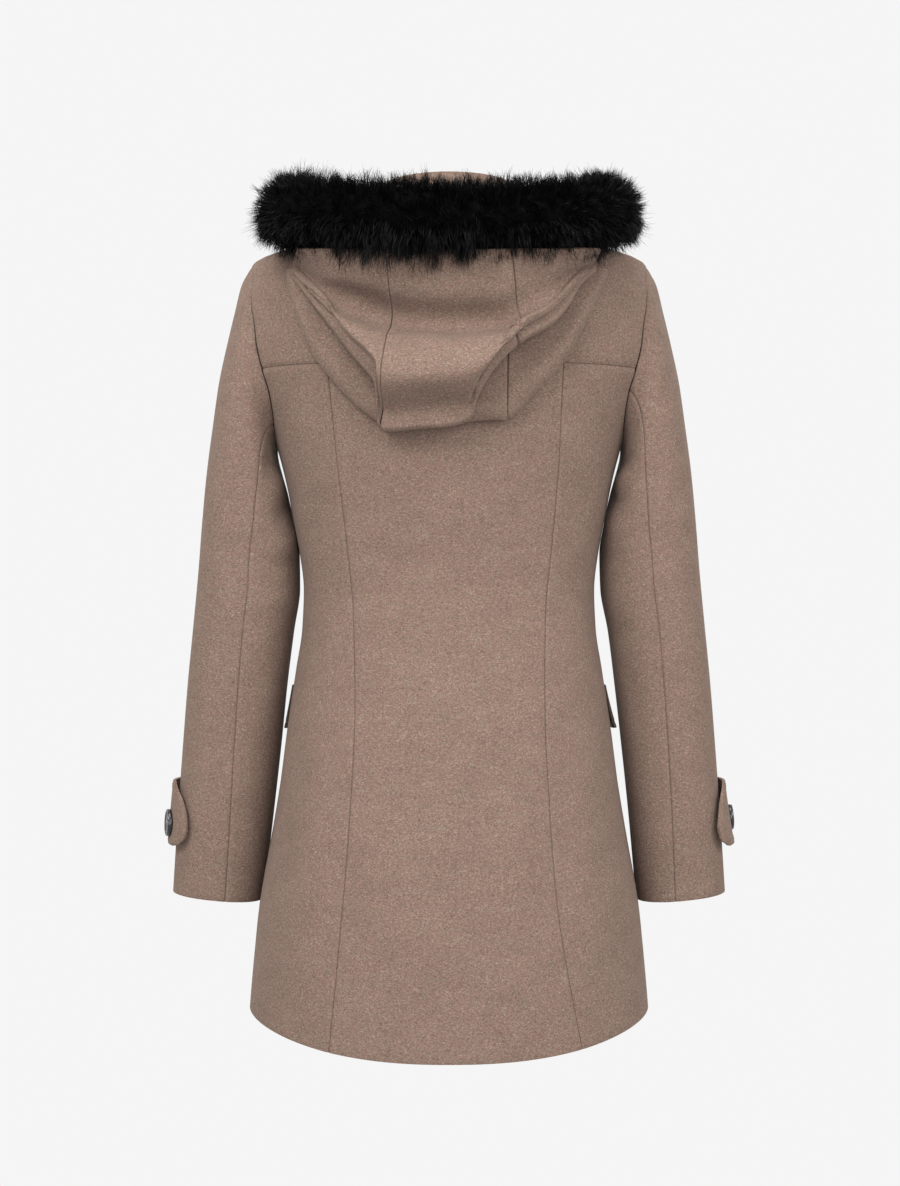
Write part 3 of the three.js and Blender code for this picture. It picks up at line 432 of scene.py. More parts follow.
def turnedIn(points, outward, seams):  # at a seam the cloth rolls over and runs straight in
    for seam in seams:
        axis, atStart = (1 if seam in ("left", "right") else 0), seam in ("left", "bottom")
        rim, inner = (0, 1) if atStart else (-1, -2)
        edge, way = (np.take(part, [rim], axis) for part in (points, outward))
        across = np.take(points, [inner], axis) - edge
        reach = np.linalg.norm(across, axis=-1, keepdims=True)
        shoulder = edge + across * np.minimum(seamLook["shoulder"] / np.maximum(reach, 1e-6), 0.5)
        lines = [edge - way * (seamLook["dip"] + seamLook["turnIn"]), edge - way * seamLook["dip"],
                 shoulder - way * seamLook["shoulderDip"]]
        body = np.delete(points, 0 if atStart else -1, axis)
        points = np.concatenate(lines + [body] if atStart else [body] + lines[::-1], axis)
        ways = [way] * 3
        body = np.delete(outward, 0 if atStart else -1, axis)
        outward = np.concatenate(ways + [body] if atStart else [body] + ways, axis)
    return points


def addModifiers(piece, wall, edgeRound):
    solidify = piece.modifiers.new("wall", "SOLIDIFY")
    solidify.thickness = wall * millimetre
    solidify.offset = -1
    bevel = piece.modifiers.new("soft edge", "BEVEL")
    bevel.width = edgeRound * millimetre
    bevel.segments = 2
    bevel.limit_method = "ANGLE"
    bevel.angle_limit = math.radians(62)


def finishPiece(piece, slotName, nodes, materials=None):
    for name in materials or [slotName]:
        piece.data.materials.append(finishes[name])
    piece.data.shade_smooth()
    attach(piece, "root")
    if nodes:
        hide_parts(*nodes)
    return piece


def clothPiece(name, across, along, surface, flip=False, seams=(), folds=None, wall=None,
               slotName="wool", edgeRound=0.55, nodes=None):
    u, v = np.meshgrid(across, along)
    points = surface(u, v)
    outward = gridNormals(points) * (-1 if flip else 1)
    lift = seamRidge(points, seams) + (folds(points, u, v) if folds else 0)
    points = turnedIn(points + outward * lift[..., None], outward, seams)
    rows, columns = points.shape[0] - 1, points.shape[1] - 1
    grid = bmesh.new()
    bmesh.ops.create_grid(grid, x_segments=columns, y_segments=rows, size=0.5)
    if flip:
        bmesh.ops.reverse_faces(grid, faces=grid.faces[:])
    mesh = bpy.data.meshes.new(name)
    grid.to_mesh(mesh)
    grid.free()
    flatPlaces = np.empty(len(mesh.vertices) * 3)
    mesh.vertices.foreach_get("co", flatPlaces)
    column = np.rint((flatPlaces[0::3] + 0.5) * columns).astype(int)
    row = np.rint((flatPlaces[1::3] + 0.5) * rows).astype(int)
    mesh.vertices.foreach_set("co", (points[row, column] * millimetre).ravel())
    mesh.update()
    piece = bpy.data.objects.new(name + "_cloth", mesh)
    bpy.context.scene.collection.objects.link(piece)
    addModifiers(piece, wall or coat["wall"], edgeRound)
    return finishPiece(piece, slotName, [name] if nodes is None else nodes)


def mirrored(points, side):
    return points * np.array([side, 1, 1])


backFolds = [  # lines of (x, z) on the back, then width and height in mm
    ([(-70, -250), (-20, -300), (40, -290)], 26, 1.2),
    ([(-85, -330), (-30, -352), (30, -346)], 18, -1.3),
    ([(20, -372), (60, -360), (110, -366)], 12, -1.1),
    ([(-120, -368), (-80, -378), (-20, -370)], 11, -1.1),
    ([(-60, -520), (-52, -640), (-58, -790)], 30, 1.6),
    ([(38, -540), (46, -680), (40, -800)], 34, 1.3),
    ([(-8, -600), (-4, -700), (-12, -800)], 26, -1.4),
    ([(104, -250), (126, -300), (140, -330)], 14, -1.8),
    ([(-110, -262), (-128, -305), (-138, -330)], 13, -1.7),
    ([(150, -262), (138, -300), (128, -345)], 13, 1.4),
    ([(-154, -270), (-140, -310), (-126, -348)], 12, 1.3),
    ([(104, -396), (124, -392), (144, -388)], 10, 0.8),
    ([(-104, -404), (-122, -398), (-142, -392)], 10, 0.8),
    ([(120, -470), (128, -600), (140, -780)], 20, 1.6),
    ([(-122, -480), (-132, -610), (-142, -790)], 21, 1.5),
    ([(150, -500), (158, -620), (172, -780)], 17, -1.5),
    ([(-152, -490), (-160, -630), (-176, -780)], 17, -1.4),
    ([(142, -705), (166, -730), (186, -758)], 7, -0.9),
    ([(160, -735), (176, -752), (192, -770)], 6, 0.7),
]
lowerRows = np.linspace(coat["hemFront"], coat["armholeBottom"], 118)[:-1]


def armholeHeights(count, start, stop):
    return armholeMiddle + armholeHalfHeight * np.cos(np.radians(np.linspace(start, stop, count + 1)))


yokeSeamAngle = math.degrees(math.acos((coat["yokeSeamZ"] - armholeMiddle) / armholeHalfHeight))
backRows = np.concatenate([lowerRows, armholeHeights(22, 180, yokeSeamAngle)])
backRows[-1] = coat["yokeSeamZ"] - coat["seamGap"] / 2


def backCentre():
    def surface(u, row):
        side = np.where(u < 0, -1, 1)
        seamTurn = np.where(side < 0, princessTurn(coat["hemSide"], -1), princessTurn(coat["hemSide"], 1))
        z = rowHeight(row, seamTurn * np.abs(u))
        edge = np.where(side < 0, princessTurn(z, -1), princessTurn(z, 1))
        return bodyPoint(z, u * (edge - halfGapTurn(z, edge)))
    clothPiece("back_centre", denser(56, -1, 1), backRows, surface,
               seams=("left", "right", "top"),
               folds=lambda p, u, v: foldLift(backFolds, p[..., 0], p[..., 2]))


def backSide(word, side):
    def surface(u, row):
        z = rowHeight(row, mix(princessTurn(coat["hemSide"], side), np.pi / 2, u))
        seam, edge = princessTurn(z, side), edgeTurn(z, False)
        return mirrored(bodyPoint(z, mix(seam + halfGapTurn(z, seam), edge - halfGapTurn(z, edge), u)), side)
    clothPiece("back_side_" + word, denser(42), backRows, surface, flip=side < 0,
               seams=("left", "right", "top"),
               folds=lambda p, u, v: foldLift(backFolds, p[..., 0], p[..., 2]))


def backYoke():
    rows = np.concatenate([[coat["yokeSeamZ"] + coat["seamGap"] / 2],
                           armholeHeights(28, yokeSeamAngle, 0)[1:], np.linspace(-44, 0, 12)])

    def surface(u, z):
        edge = edgeTurn(z, False)
        return bodyPoint(z, u * (edge - halfGapTurn(z, edge)))
    folds = [([(-185, -70), (-150, -90), (-120, -120)], 16, 0.9),
             ([(150, -60), (160, -100), (170, -140)], 14, -0.9),
             ([(-172, -70), (-168, -110), (-165, -148)], 12, -0.9)]
    clothPiece("back_yoke", denser(96, -1, 1), rows, surface,
               seams=("left", "right", "bottom"),
               folds=lambda p, u, v: foldLift(folds, p[..., 0], p[..., 2]))


def frontReachTurn(z):
    return np.pi + turnAcross(z, coat["overlapReach"])


def frontPlace(u, row):
    bottom = coat["armholeBottom"]
    lowZ = rowHeight(row, mix(np.pi / 2, np.pi, u))
    lowTurn = mix(np.pi / 2 + halfGapTurn(lowZ, np.pi / 2), frontReachTurn(lowZ), u)
    share = (row - bottom) / -bottom
    neckEnd = np.pi + math.asin(coat["overlapReach"] / coat["neckHalfWidth"])
    neckAngle = mix(np.pi / 2, neckEnd, u)
    endHeight = float(necklineHeight(np.array(neckEnd)))
    frontZ = mix(bottom, endHeight, share)
    topZ = necklineHeight(neckAngle) - np.where(u > 0, coat["seamGap"], 0)
    flatZ = mix(mix(bottom, 0, share), mix(bottom, endHeight, share), u)
    z = mix(row, frontZ, u) + mix(bottom, topZ, share) - flatZ
    edge = edgeTurn(row, True)
    sideTurn = edge + halfGapTurn(row, edge)
    endTurns = frontReachTurn(np.array(float(bottom))), frontReachTurn(np.array(endHeight))
    corner = mix(mix(np.pi / 2, endTurns[0], u), mix(np.pi / 2, endTurns[1], u), share)
    neckZ = necklineHeight(neckAngle)
    neckX = coat["neckHalfWidth"] * np.sin(neckAngle)
    neckTurn = np.where(np.cos(neckAngle) > 0, turnAcross(neckZ, neckX),
                        np.pi - np.sign(neckX) * turnAcross(neckZ, neckX))
    topTurn = np.where(u == 0, np.pi / 2, neckTurn)
    turn = (mix(sideTurn, frontReachTurn(frontZ), u)
            + mix(mix(np.pi / 2, endTurns[0], u), topTurn, share) - corner)
    low = row <= bottom
    return (np.where(low, lowZ, np.where(u == 0, row, z)),
            np.where(low, lowTurn, np.where(u == 0, sideTurn, turn)))


frontFolds = [
    ([(150, -250), (120, -290), (96, -350)], 16, -1.8),
    ([(158, -300), (130, -330), (100, -372)], 15, 1.5),
    ([(146, -372), (110, -368), (70, -376)], 12, -1.4),
    ([(60, -500), (66, -640), (70, -790)], 26, 1.8),
    ([(120, -520), (130, -650), (142, -780)], 24, -1.9),
    ([(168, -540), (176, -650), (186, -780)], 16, 1.4),
    ([(100, -120), (86, -180), (80, -250)], 22, 1.5),
]


def front(word, side):
    rows = np.concatenate([lowerRows, armholeHeights(34, 180, 0), np.linspace(-44, 0, 12)])

    def surface(u, row):
        z, turn = frontPlace(u, row)
        points = bodyPoint(z, turn)
        if side < 0:  # the left front passes under the right one
            start = -coat["overlapReach"] - coat["overlapRamp"]
            step = coat["overlapStep"] * smoothstep(-points[..., 0], start, start + coat["overlapRamp"])
            points = points - bodyNormal(z, turn) * step[..., None]
        return mirrored(points, side)
    clothPiece("front_" + word, denser(66), rows, surface, flip=side < 0,
               seams=("left",), folds=lambda p, u, v: foldLift(
                   frontFolds, np.abs(p[..., 0]), p[..., 2] + (7 if side < 0 else 0))
               * (1 - smoothstep(u, 0.75, 0.9)))


backYoke()
backCentre()
for word, side in (("left", -1), ("right", 1)):
    backSide(word, side)
    front(word, side)
print("body sewn")


sleeveForm = {
    "at": [0, 0.04, 0.09, 0.15, 0.21, 0.28, 0.36, 0.44, 0.52, 0.61, 0.71, 0.81, 0.9, 1],
    "outerX": [196, 206, 212.8, 220.3, 228.8, 235, 241.2, 246.3, 250.5, 255.8, 262, 267.5, 273, 279],
    "outerZ": [-46, -64, -92, -124, -163, -205, -250, -300, -350, -402, -460, -522, -590, -671],
    "innerLeft": [172, 172.8, 172.4, 170.6, 167, 161.5, 155.6, 150, 149.6, 156, 163, 169.3, 177.2, 188.3],
    "innerRight": [172, 172.8, 172.4, 170.6, 167, 161.5, 155.6, 151, 152, 160, 167, 174, 181.4, 189.6],
    "innerZ": [-225, -229, -234, -242, -254, -273, -301, -332, -366, -410, -464, -524, -592, -680],
    "centreY": [0, 0, 0, 0, 1, 2, 3, 5, 7, 10, 14, 18, 22, 28],
    "halfDepth": [64, 64.5, 65, 65.5, 65.5, 65, 64, 62, 60, 58, 56, 53, 51, 48],
}
sleeveSeamForm = {  # degrees round the sleeve from its outer line, where the back seam runs
    "at": [0, 0.15, 0.3, 0.5, 0.8, 1],
    "left": [142, 126, 108, 94, 97, 103],
    "right": [116, 108, 100, 92, 95, 101],
}
sleeveFrontSeam = 232
sleeveCurves = {name: curve(sleeveForm, "at", name) for name in sleeveForm if name != "at"}


def sleeveSection(side, at, angle):
    power = 2 / 2.25
    inner = sleeveCurves["innerLeft" if side < 0 else "innerRight"](at)
    outerX, outerZ, innerZ = (sleeveCurves[name](at) for name in ("outerX", "outerZ", "innerZ"))
    cosine, sine = np.cos(np.radians(angle)), np.sin(np.radians(angle))
    reach = np.sign(cosine) * np.abs(cosine) ** power
    depth = np.sign(sine) * np.abs(sine) ** power * sleeveCurves["halfDepth"](at)
    return np.stack([(outerX + inner) / 2 + reach * (outerX - inner) / 2, sleeveCurves["centreY"](at) - depth,
                     (outerZ + innerZ) / 2 + reach * (outerZ - innerZ) / 2], -1)


def sleevePoint(side, at, angle):
    at, angle = np.broadcast_arrays(np.maximum(at, 0), np.asarray(angle, float))
    onArmhole = armholePoint(angle) + np.array([0.15, 0, 0])
    settle = smoothstep(at, 0, 0.16)[..., None]
    shift = onArmhole - sleeveSection(side, np.zeros_like(at), angle)
    return sleeveSection(side, at, angle) + shift * (1 - settle)


def sleeveNormal(side, at, angle):
    around = sleevePoint(side, at, angle + 1.5) - sleevePoint(side, at, angle - 1.5)
    along = sleevePoint(side, at + 0.005, angle) - sleevePoint(side, np.maximum(at - 0.005, 0), angle)
    return unit(np.cross(around, along))


sleeveFolds = {  # lines of (degrees round, share down the arm), in units of 1.05 and 640 mm
    "left": [
        ([(150, 0.16), (135, 0.22), (112, 0.27)], 12, -2.6),
        ([(175, 0.20), (150, 0.27), (118, 0.34)], 13, 2.4),
        ([(185, 0.27), (150, 0.34), (120, 0.39)], 11, -2.8),
        ([(180, 0.36), (150, 0.42), (112, 0.45)], 12, 2.0),
        ([(176, 0.44), (140, 0.475), (100, 0.49)], 10, -1.9),
        ([(168, 0.52), (130, 0.55), (92, 0.56)], 13, 1.2),
        ([(150, 0.60), (128, 0.66), (120, 0.75)], 16, -1.1),
        ([(78, 0.03), (66, 0.10), (60, 0.19)], 13, 1.3),
        ([(40, 0.30), (60, 0.36), (84, 0.39)], 15, -0.9),
        ([(230, 0.22), (262, 0.30), (300, 0.34)], 16, -2.4),
        ([(222, 0.32), (258, 0.40), (296, 0.43)], 15, 2.0),
        ([(228, 0.46), (262, 0.50), (300, 0.52)], 13, -2.0),
        ([(280, 0.60), (276, 0.72), (282, 0.86)], 20, 1.2),
    ],
    "right": [
        ([(160, 0.14), (142, 0.19), (120, 0.22)], 12, -2.4),
        ([(178, 0.20), (150, 0.25), (122, 0.29)], 12, 2.6),
        ([(182, 0.26), (152, 0.31), (120, 0.34)], 10, -3.0),
        ([(180, 0.33), (150, 0.38), (116, 0.41)], 12, 2.1),
        ([(178, 0.42), (146, 0.46), (108, 0.48)], 11, -1.7),
        ([(160, 0.55), (126, 0.58), (96, 0.59)], 14, 1.1),
        ([(152, 0.64), (134, 0.72), (128, 0.80)], 15, -1.0),
        ([(84, 0.04), (72, 0.11), (66, 0.20)], 13, 1.1),
        ([(36, 0.34), (58, 0.39), (80, 0.41)], 14, -1.0),
        ([(232, 0.24), (264, 0.31), (298, 0.36)], 15, -2.3),
        ([(224, 0.34), (258, 0.41), (300, 0.45)], 15, 2.1),
        ([(226, 0.48), (266, 0.53), (300, 0.54)], 13, -1.9),
        ([(284, 0.62), (280, 0.74), (286, 0.88)], 20, 1.2),
    ],
}


def sleevePanel(name, word, side, columns, startAngle, stopAngle):
    stations = np.concatenate([np.linspace(0, 0.16, 30)[:-1], np.linspace(0.16, 1, 112)])
    folds = [([(a * 1.05, s * 640) for a, s in line], width, height)
             for line, width, height in sleeveFolds[word]]

    def angleOf(u, at):
        gap = math.degrees(coat["seamGap"] / 2 / 52)
        return mix(startAngle(at) + gap, stopAngle(at) - gap, u)

    def lifts(points, u, at):
        angle = angleOf(u, at)
        return foldLift(folds, np.where(angle < 0, angle + 360, angle) * 1.05, at * 640)
    clothPiece(name, denser(columns), stations,
               lambda u, at: mirrored(sleevePoint(side, at, angleOf(u, at)), side),
               flip=side < 0, seams=("left", "right", "bottom"), folds=lifts)


def sleeve(word, side):
    backSeam = curve(sleeveSeamForm, "at", word)
    sleevePanel("sleeve_upper_" + word, word, side, 62, lambda at: sleeveFrontSeam - 360 + 0 * at, backSeam)
    sleevePanel("sleeve_under_" + word, word, side, 34, backSeam, lambda at: sleeveFrontSeam + 0 * at)


for word, side in (("left", -1), ("right", 1)):
    sleeve(word, side)
print("sleeves set in")


cuffTab = {"wall": 3.0, "lift": 1.0, "front": -62, "stitchIn": [3.2, 6.4], "stitchDip": 0.6}
tabForm = {  # free end of a tab by share of its width: degrees round the sleeve, and how far it stands off
    "share": [0, 0.25, 0.5, 0.72, 0.88, 1],
    "endLeft": [18, 43, 53, 56, 52, 34],
    "endRight": [14, 34, 43, 48, 46, 32],
    "liftLeft": [0.2, 0.8, 1.4, 1.8, 1.8, 1.6],
    "liftRight": [0.4, 1.6, 3.4, 5.4, 7, 8],
}
cuffButton = {"radius": 13.5, "thickness": 5.5, "rim": 2.2, "hole": 1.6, "holeRing": 3.6, "stand": 1.2,
              "left": (19, 0.67), "right": (-1, 0.62)}


def cuffTabPlace(word, u, v):
    end, lift = (curve(tabForm, "share", name + word.capitalize())(v) for name in ("end", "lift"))
    bow = u * u * (3 - 2.4 * u)  # it stands off most under the button
    return mix(cuffTab["front"], end, u), mix(0.861, 0.94, v), cuffTab["lift"] + cuffTab["wall"] + lift * bow


def cuffTabPiece(word, side):
    def surface(u, v):
        angle, at, lift = cuffTabPlace(word, u, v)
        return mirrored(sleevePoint(side, at, angle) + sleeveNormal(side, at, angle) * lift[..., None], side)

    def stitching(points, u, v):  # two sewn grooves a little inside the tab's edges
        across = np.linalg.norm(np.diff(points, axis=1), axis=-1)
        toEnd = across.sum(1, keepdims=True) - np.concatenate([0 * across[:, :1], np.cumsum(across, 1)], 1)
        down = np.linalg.norm(points[-1:] - points[:1], axis=-1)
        inwards = np.minimum(np.minimum(v, 1 - v) * down, toEnd)
        return -cuffTab["stitchDip"] * sum(
            np.exp(-((inwards - place) / 0.6) ** 2) for place in cuffTab["stitchIn"])
    clothPiece("cuff_tab_" + word, denser(84, gather=0.75), denser(60, gather=0.6), surface,
               flip=side > 0, folds=stitching, wall=cuffTab["wall"], edgeRound=1.1)


def turnedButton():  # four-hole button about Z, its underside at 0, in millimetres
    radius, thick, rim = cuffButton["radius"], cuffButton["thickness"], cuffButton["rim"]
    profile = [(0, 0), (radius - 1.6, 0), (radius - 0.5, 0.5), (radius, 1.6), (radius, thick - 1.4),
               (radius - 0.35, thick - 0.4), (radius - 1.1, thick), (radius - rim, thick - 0.15),
               (radius - rim - 0.9, thick - 1.0), (radius - rim - 2.2, thick - 1.3), (0, thick - 1.5)]
    turned = bmesh.new()
    corners = [turned.verts.new((x, 0, z)) for x, z in profile]
    line = [turned.edges.new(pair) for pair in zip(corners[:-1], corners[1:])]
    bmesh.ops.spin(turned, geom=corners + line, cent=(0, 0, 0), axis=(0, 0, 1), angle=2 * math.pi, steps=56,
                   use_merge=True)
    bmesh.ops.remove_doubles(turned, verts=turned.verts[:], dist=0.0005)
    bmesh.ops.recalc_face_normals(turned, faces=turned.faces[:])
    mesh = bpy.data.meshes.new("button blank")
    turned.to_mesh(mesh)
    turned.free()
    blank = bpy.data.objects.new("button blank", mesh)
    drills = bmesh.new()
    for quarter in range(4):
        made = bmesh.ops.create_cone(drills, cap_ends=True, segments=20, radius1=cuffButton["hole"],
                                     radius2=cuffButton["hole"], depth=thick * 4)
        angle = math.radians(45 + 90 * quarter)
        bmesh.ops.translate(drills, verts=made["verts"], vec=(cuffButton["holeRing"] * math.cos(angle),
                                                              cuffButton["holeRing"] * math.sin(angle), 0))
    drillMesh = bpy.data.meshes.new("drills")
    drills.to_mesh(drillMesh)
    drills.free()
    drill = bpy.data.objects.new("drills", drillMesh)
    for thing in (blank, drill):
        bpy.context.scene.collection.objects.link(thing)
    cut = blank.modifiers.new("holes", "BOOLEAN")
    cut.operation, cut.object, cut.solver = "DIFFERENCE", drill, "EXACT"
    bpy.context.view_layer.update()
    drilled = bpy.data.meshes.new_from_object(blank.evaluated_get(bpy.context.evaluated_depsgraph_get()))
    for thing in (blank, drill):
        bpy.data.objects.remove(thing)
    return drilled


def threadBars():  # two short stitches that cross the button's face from hole to hole
    sewn = bmesh.new()
    ring, top = cuffButton["holeRing"] * math.sqrt(0.5), cuffButton["thickness"] - 1.5
    for place in (-ring, ring):
        made = bmesh.ops.create_circle(sewn, cap_ends=False, radius=0.75, segments=10)
        bmesh.ops.rotate(sewn, verts=made["verts"], cent=(0, 0, 0),
                         matrix=Matrix.Rotation(math.pi / 2, 3, "X"))
        bmesh.ops.translate(sewn, verts=made["verts"], vec=(place, 0, ring + 0.3))
        rim = [edge for edge in sewn.edges if edge.verts[0] in made["verts"]]
        bmesh.ops.rotate(sewn, verts=made["verts"], cent=(0, 0, 0),
                         matrix=Matrix.Rotation(math.pi / 2, 3, "X"))
        bmesh.ops.spin(sewn, geom=made["verts"] + rim, cent=(0, 0, 0), axis=(1, 0, 0),
                       angle=math.pi, steps=12)
    bmesh.ops.recalc_face_normals(sewn, faces=sewn.faces[:])
    bmesh.ops.scale(sewn, verts=sewn.verts[:], vec=(1, 1, 0.36))
    bmesh.ops.translate(sewn, verts=sewn.verts[:], vec=(0, 0, top - 0.2))
    mesh = bpy.data.meshes.new("thread bars")
    sewn.to_mesh(mesh)
    sewn.free()
    return mesh


buttonMesh, threadMesh = turnedButton(), threadBars()


def cuffButtonPiece(word, side):
    angle, v = (np.array([place]) for place in cuffButton[word])
    end = curve(tabForm, "share", "end" + word.capitalize())(v)
    _, at, lift = cuffTabPlace(word, (angle - cuffTab["front"]) / (end - cuffTab["front"]), v)
    out = sleeveNormal(side, at, angle)
    seat = mirrored(sleevePoint(side, at, angle) + out * (lift + cuffButton["stand"])[..., None], side)[0]
    turn = Vector((0, 0, 1)).rotation_difference(Vector(mirrored(out, side)[0])).to_matrix().to_4x4()
    place = Matrix.Scale(millimetre, 4) @ Matrix.Translation(Vector(seat)) @ turn
    for name, source, finish in (("cuff_button", buttonMesh, ["buttons", "buttonRim"]),
                                 ("cuff_thread", threadMesh, ["thread"])):
        mesh = source.copy()
        if name == "cuff_button":
            faceReach = cuffButton["radius"] - cuffButton["rim"] - 0.6
            for face in mesh.polygons:  # the marbled face, inside the black rim
                middle = face.center
                face.material_index = 0 if middle.z > 2 and math.hypot(middle.x, middle.y) < faceReach and \
                    abs(face.normal.z) > 0.7 else 1
        mesh.transform(place)
        piece = bpy.data.objects.new(f"{name}_{word}_sewn", mesh)
        bpy.context.scene.collection.objects.link(piece)
        finishPiece(piece, "buttons" if name == "cuff_button" else "wool",
                    ["cuff_button_" + word] if name == "cuff_button" else [], materials=finish)
        piece.data.set_sharp_from_angle(angle=math.radians(38))


for word, side in (("left", -1), ("right", 1)):
    cuffTabPiece(word, side)
    cuffButtonPiece(word, side)
print("cuffs tabbed and buttoned")


pocketFlap = {"top": -464, "drop": 44, "wall": 2.5, "lining": 1.5, "sideTurn": 96, "frontTurn": 142,
              "flareLeft": 1.8, "flareRight": 4.8, "cornerCut": 0.12}


def flapPlace(flare, depthBelow, u, v):
    turn = np.radians(mix(pocketFlap["sideTurn"], pocketFlap["frontTurn"], u))
    dip = pocketFlap["drop"] * v * (1 - pocketFlap["cornerCut"] * (1 - v) * u)
    lift = 0.4 + pocketFlap["wall"] + pocketFlap["lining"] + coat["seamGap"] - depthBelow
    return pocketFlap["top"] - dip, turn, lift + flare * v * (1 - 0.75 * u) * (0.4 + 0.6 * v)


def flapLayer(name, side, flare, depthBelow, wall, slotName):
    def surface(u, v):
        z, turn, lift = flapPlace(flare, depthBelow, u, v)
        return mirrored(bodyPoint(z, turn) + bodyNormal(z, turn) * lift[..., None], side)

    def edging(points, u, v):  # pressed edge and the row of stitches inside it
        down = np.linalg.norm(points[-1:] - points[:1], axis=-1)
        inwards = (1 - v) * down
        return -0.5 * np.exp(-((inwards - 6) / 0.9) ** 2) if slotName == "wool" else 0 * u
    clothPiece(name, denser(50), denser(26), surface, flip=side > 0, folds=edging,
               wall=wall, slotName=slotName, edgeRound=0.6)


for word, side in (("left", -1), ("right", 1)):
    flare = pocketFlap["flare" + word.capitalize()]
    flapLayer("pocket_flap_" + word, side, flare, 0, pocketFlap["wall"], "wool")
    flapLayer("pocket_flap_lining_" + word, side, flare, pocketFlap["wall"] + coat["seamGap"],
              pocketFlap["lining"], "flap_lining")
print("pocket flaps set")


toggle = {"heights": (-161, -289, -417, -545), "length": 46, "radius": 6.5, "middle": -15, "cord": 1.8,
          "loopHalf": 7.5, "rise": 24, "gap": 0.3, "plait": 0.16, "plaitMm": 5.2}
patch = {"width": 30, "height": 30, "wall": 2, "leftStart": -94, "rightStart": 34, "lift": 0.9,
         "stitchIn": 3.0,
         "stitchMm": 3.3, "cornerCut": 0.1}


def overFront(x, z, lift):
    x, z, lift = np.broadcast_arrays(*(np.asarray(part, float) for part in (x, z, lift)))
    turn = np.pi - np.sign(x) * turnAcross(z, x)
    return bodyPoint(z, turn) + bodyNormal(z, turn) * lift[..., None]


def frontPatch(name, start, height):
    def surface(u, v):
        corner = (np.clip((np.abs(2 * u - 1) - 0.66) / 0.34, 0, 1)
                  * np.clip((np.abs(2 * v - 1) - 0.66) / 0.34, 0, 1))
        pull = 1 - patch["cornerCut"] * corner
        return overFront(start + patch["width"] * (0.5 + (0.5 - u) * pull),
                         height + patch["height"] * (v - 0.5) * pull, patch["lift"] + patch["wall"])

    def stitching(points, u, v):  # thread that dips in and out of a groove near the edge
        inwards = np.minimum(np.minimum(u, 1 - u), np.minimum(v, 1 - v)) * patch["width"]
        around = np.where(np.minimum(u, 1 - u) < np.minimum(v, 1 - v), v, u) * patch["width"]
        thread = np.maximum(0, np.sin(2 * np.pi * around / patch["stitchMm"]))
        line = inwards - patch["stitchIn"]
        return -0.4 * np.exp(-(line / 0.8) ** 2) + 0.55 * thread * np.exp(-(line / 0.45) ** 2)
    clothPiece(name, np.linspace(0, 1, 61), np.linspace(0, 1, 61), surface, folds=stitching,
               wall=patch["wall"], slotName="patches", edgeRound=0.5)


def addPiece(name, made, slotName):
    mesh = bpy.data.meshes.new(name)
    made.to_mesh(mesh)
    made.free()
    piece = bpy.data.objects.new(name + "_made", mesh)
    bpy.context.scene.collection.objects.link(piece)
    return finishPiece(piece, slotName, [name])


def cordAlong(name, points, count):  # a plaited cord of round section along a smooth line
    line = spline(np.array(points), np.linspace(0, len(points) - 1, count + 1))
    ahead = unit(np.gradient(line, axis=0))
    out = unit(line - np.stack([line[:, 0] * 0, line[:, 1] * 0, line[:, 2]], -1))
    side = unit(np.cross(ahead, out))
    out = np.cross(side, ahead)
    made = bmesh.new()
    bmesh.ops.create_cone(made, cap_ends=True, cap_tris=True, segments=14, radius1=1, radius2=1, depth=1)
    lengthwise = [edge for edge in made.edges if abs(edge.verts[0].co.z - edge.verts[1].co.z) > 0.5]
    bmesh.ops.subdivide_edges(made, edges=lengthwise, cuts=count - 1, use_grid_fill=True)
    walked = np.concatenate([[0], np.cumsum(np.linalg.norm(np.diff(line, axis=0), axis=1))])
    for vert in made.verts:
        station = int(round((vert.co.z + 0.5) * count))
        angle = math.atan2(vert.co.y, vert.co.x)
        phase = 2 * math.pi * walked[station] / toggle["plaitMm"]
        plaits = abs(math.sin(1.5 * angle + phase)) * abs(math.sin(1.5 * angle - phase))
        radius = (toggle["cord"] - toggle["plait"] * (1 - plaits)) * math.hypot(vert.co.x, vert.co.y)
        place = line[station] + (out[station] * math.cos(angle) + side[station] * math.sin(angle)) * radius
        vert.co = Vector(place * millimetre)
    bmesh.ops.recalc_face_normals(made, faces=made.faces[:])
    addPiece(name, made, "cords")


def toggleBarrel(name, height, lift):
    profile = [(0, -1), (0.3, -0.995), (0.52, -0.97), (0.68, -0.92), (0.8, -0.83), (0.9, -0.66), (0.97, -0.4),
               (0.995, -0.2), (0.96, -0.09), (0.9, -0.045), (0.88, 0)]
    profile += [(x, -y) for x, y in profile[-2::-1]]
    turned = bmesh.new()
    corners = [turned.verts.new((x * toggle["radius"], y * toggle["length"] / 2, 0)) for x, y in profile]
    line = [turned.edges.new(pair) for pair in zip(corners[:-1], corners[1:])]
    bmesh.ops.spin(turned, geom=corners + line, cent=(0, 0, 0), axis=(0, 1, 0), angle=2 * math.pi, steps=40,
                   use_merge=True)
    bmesh.ops.remove_doubles(turned, verts=turned.verts[:], dist=0.0005)
    bmesh.ops.recalc_face_normals(turned, faces=turned.faces[:])
    middle = toggle["middle"]
    across = unit(overFront(middle + 5, height, 0) - overFront(middle - 5, height, 0))
    turn = Vector((0, 1, 0)).rotation_difference(Vector(across)).to_matrix().to_4x4()
    seat = Vector(overFront(middle, height, lift))
    placed = Matrix.Scale(millimetre, 4) @ Matrix.Translation(seat) @ turn
    bmesh.ops.transform(turned, verts=turned.verts[:], matrix=placed)
    addPiece(name, turned, "toggles")


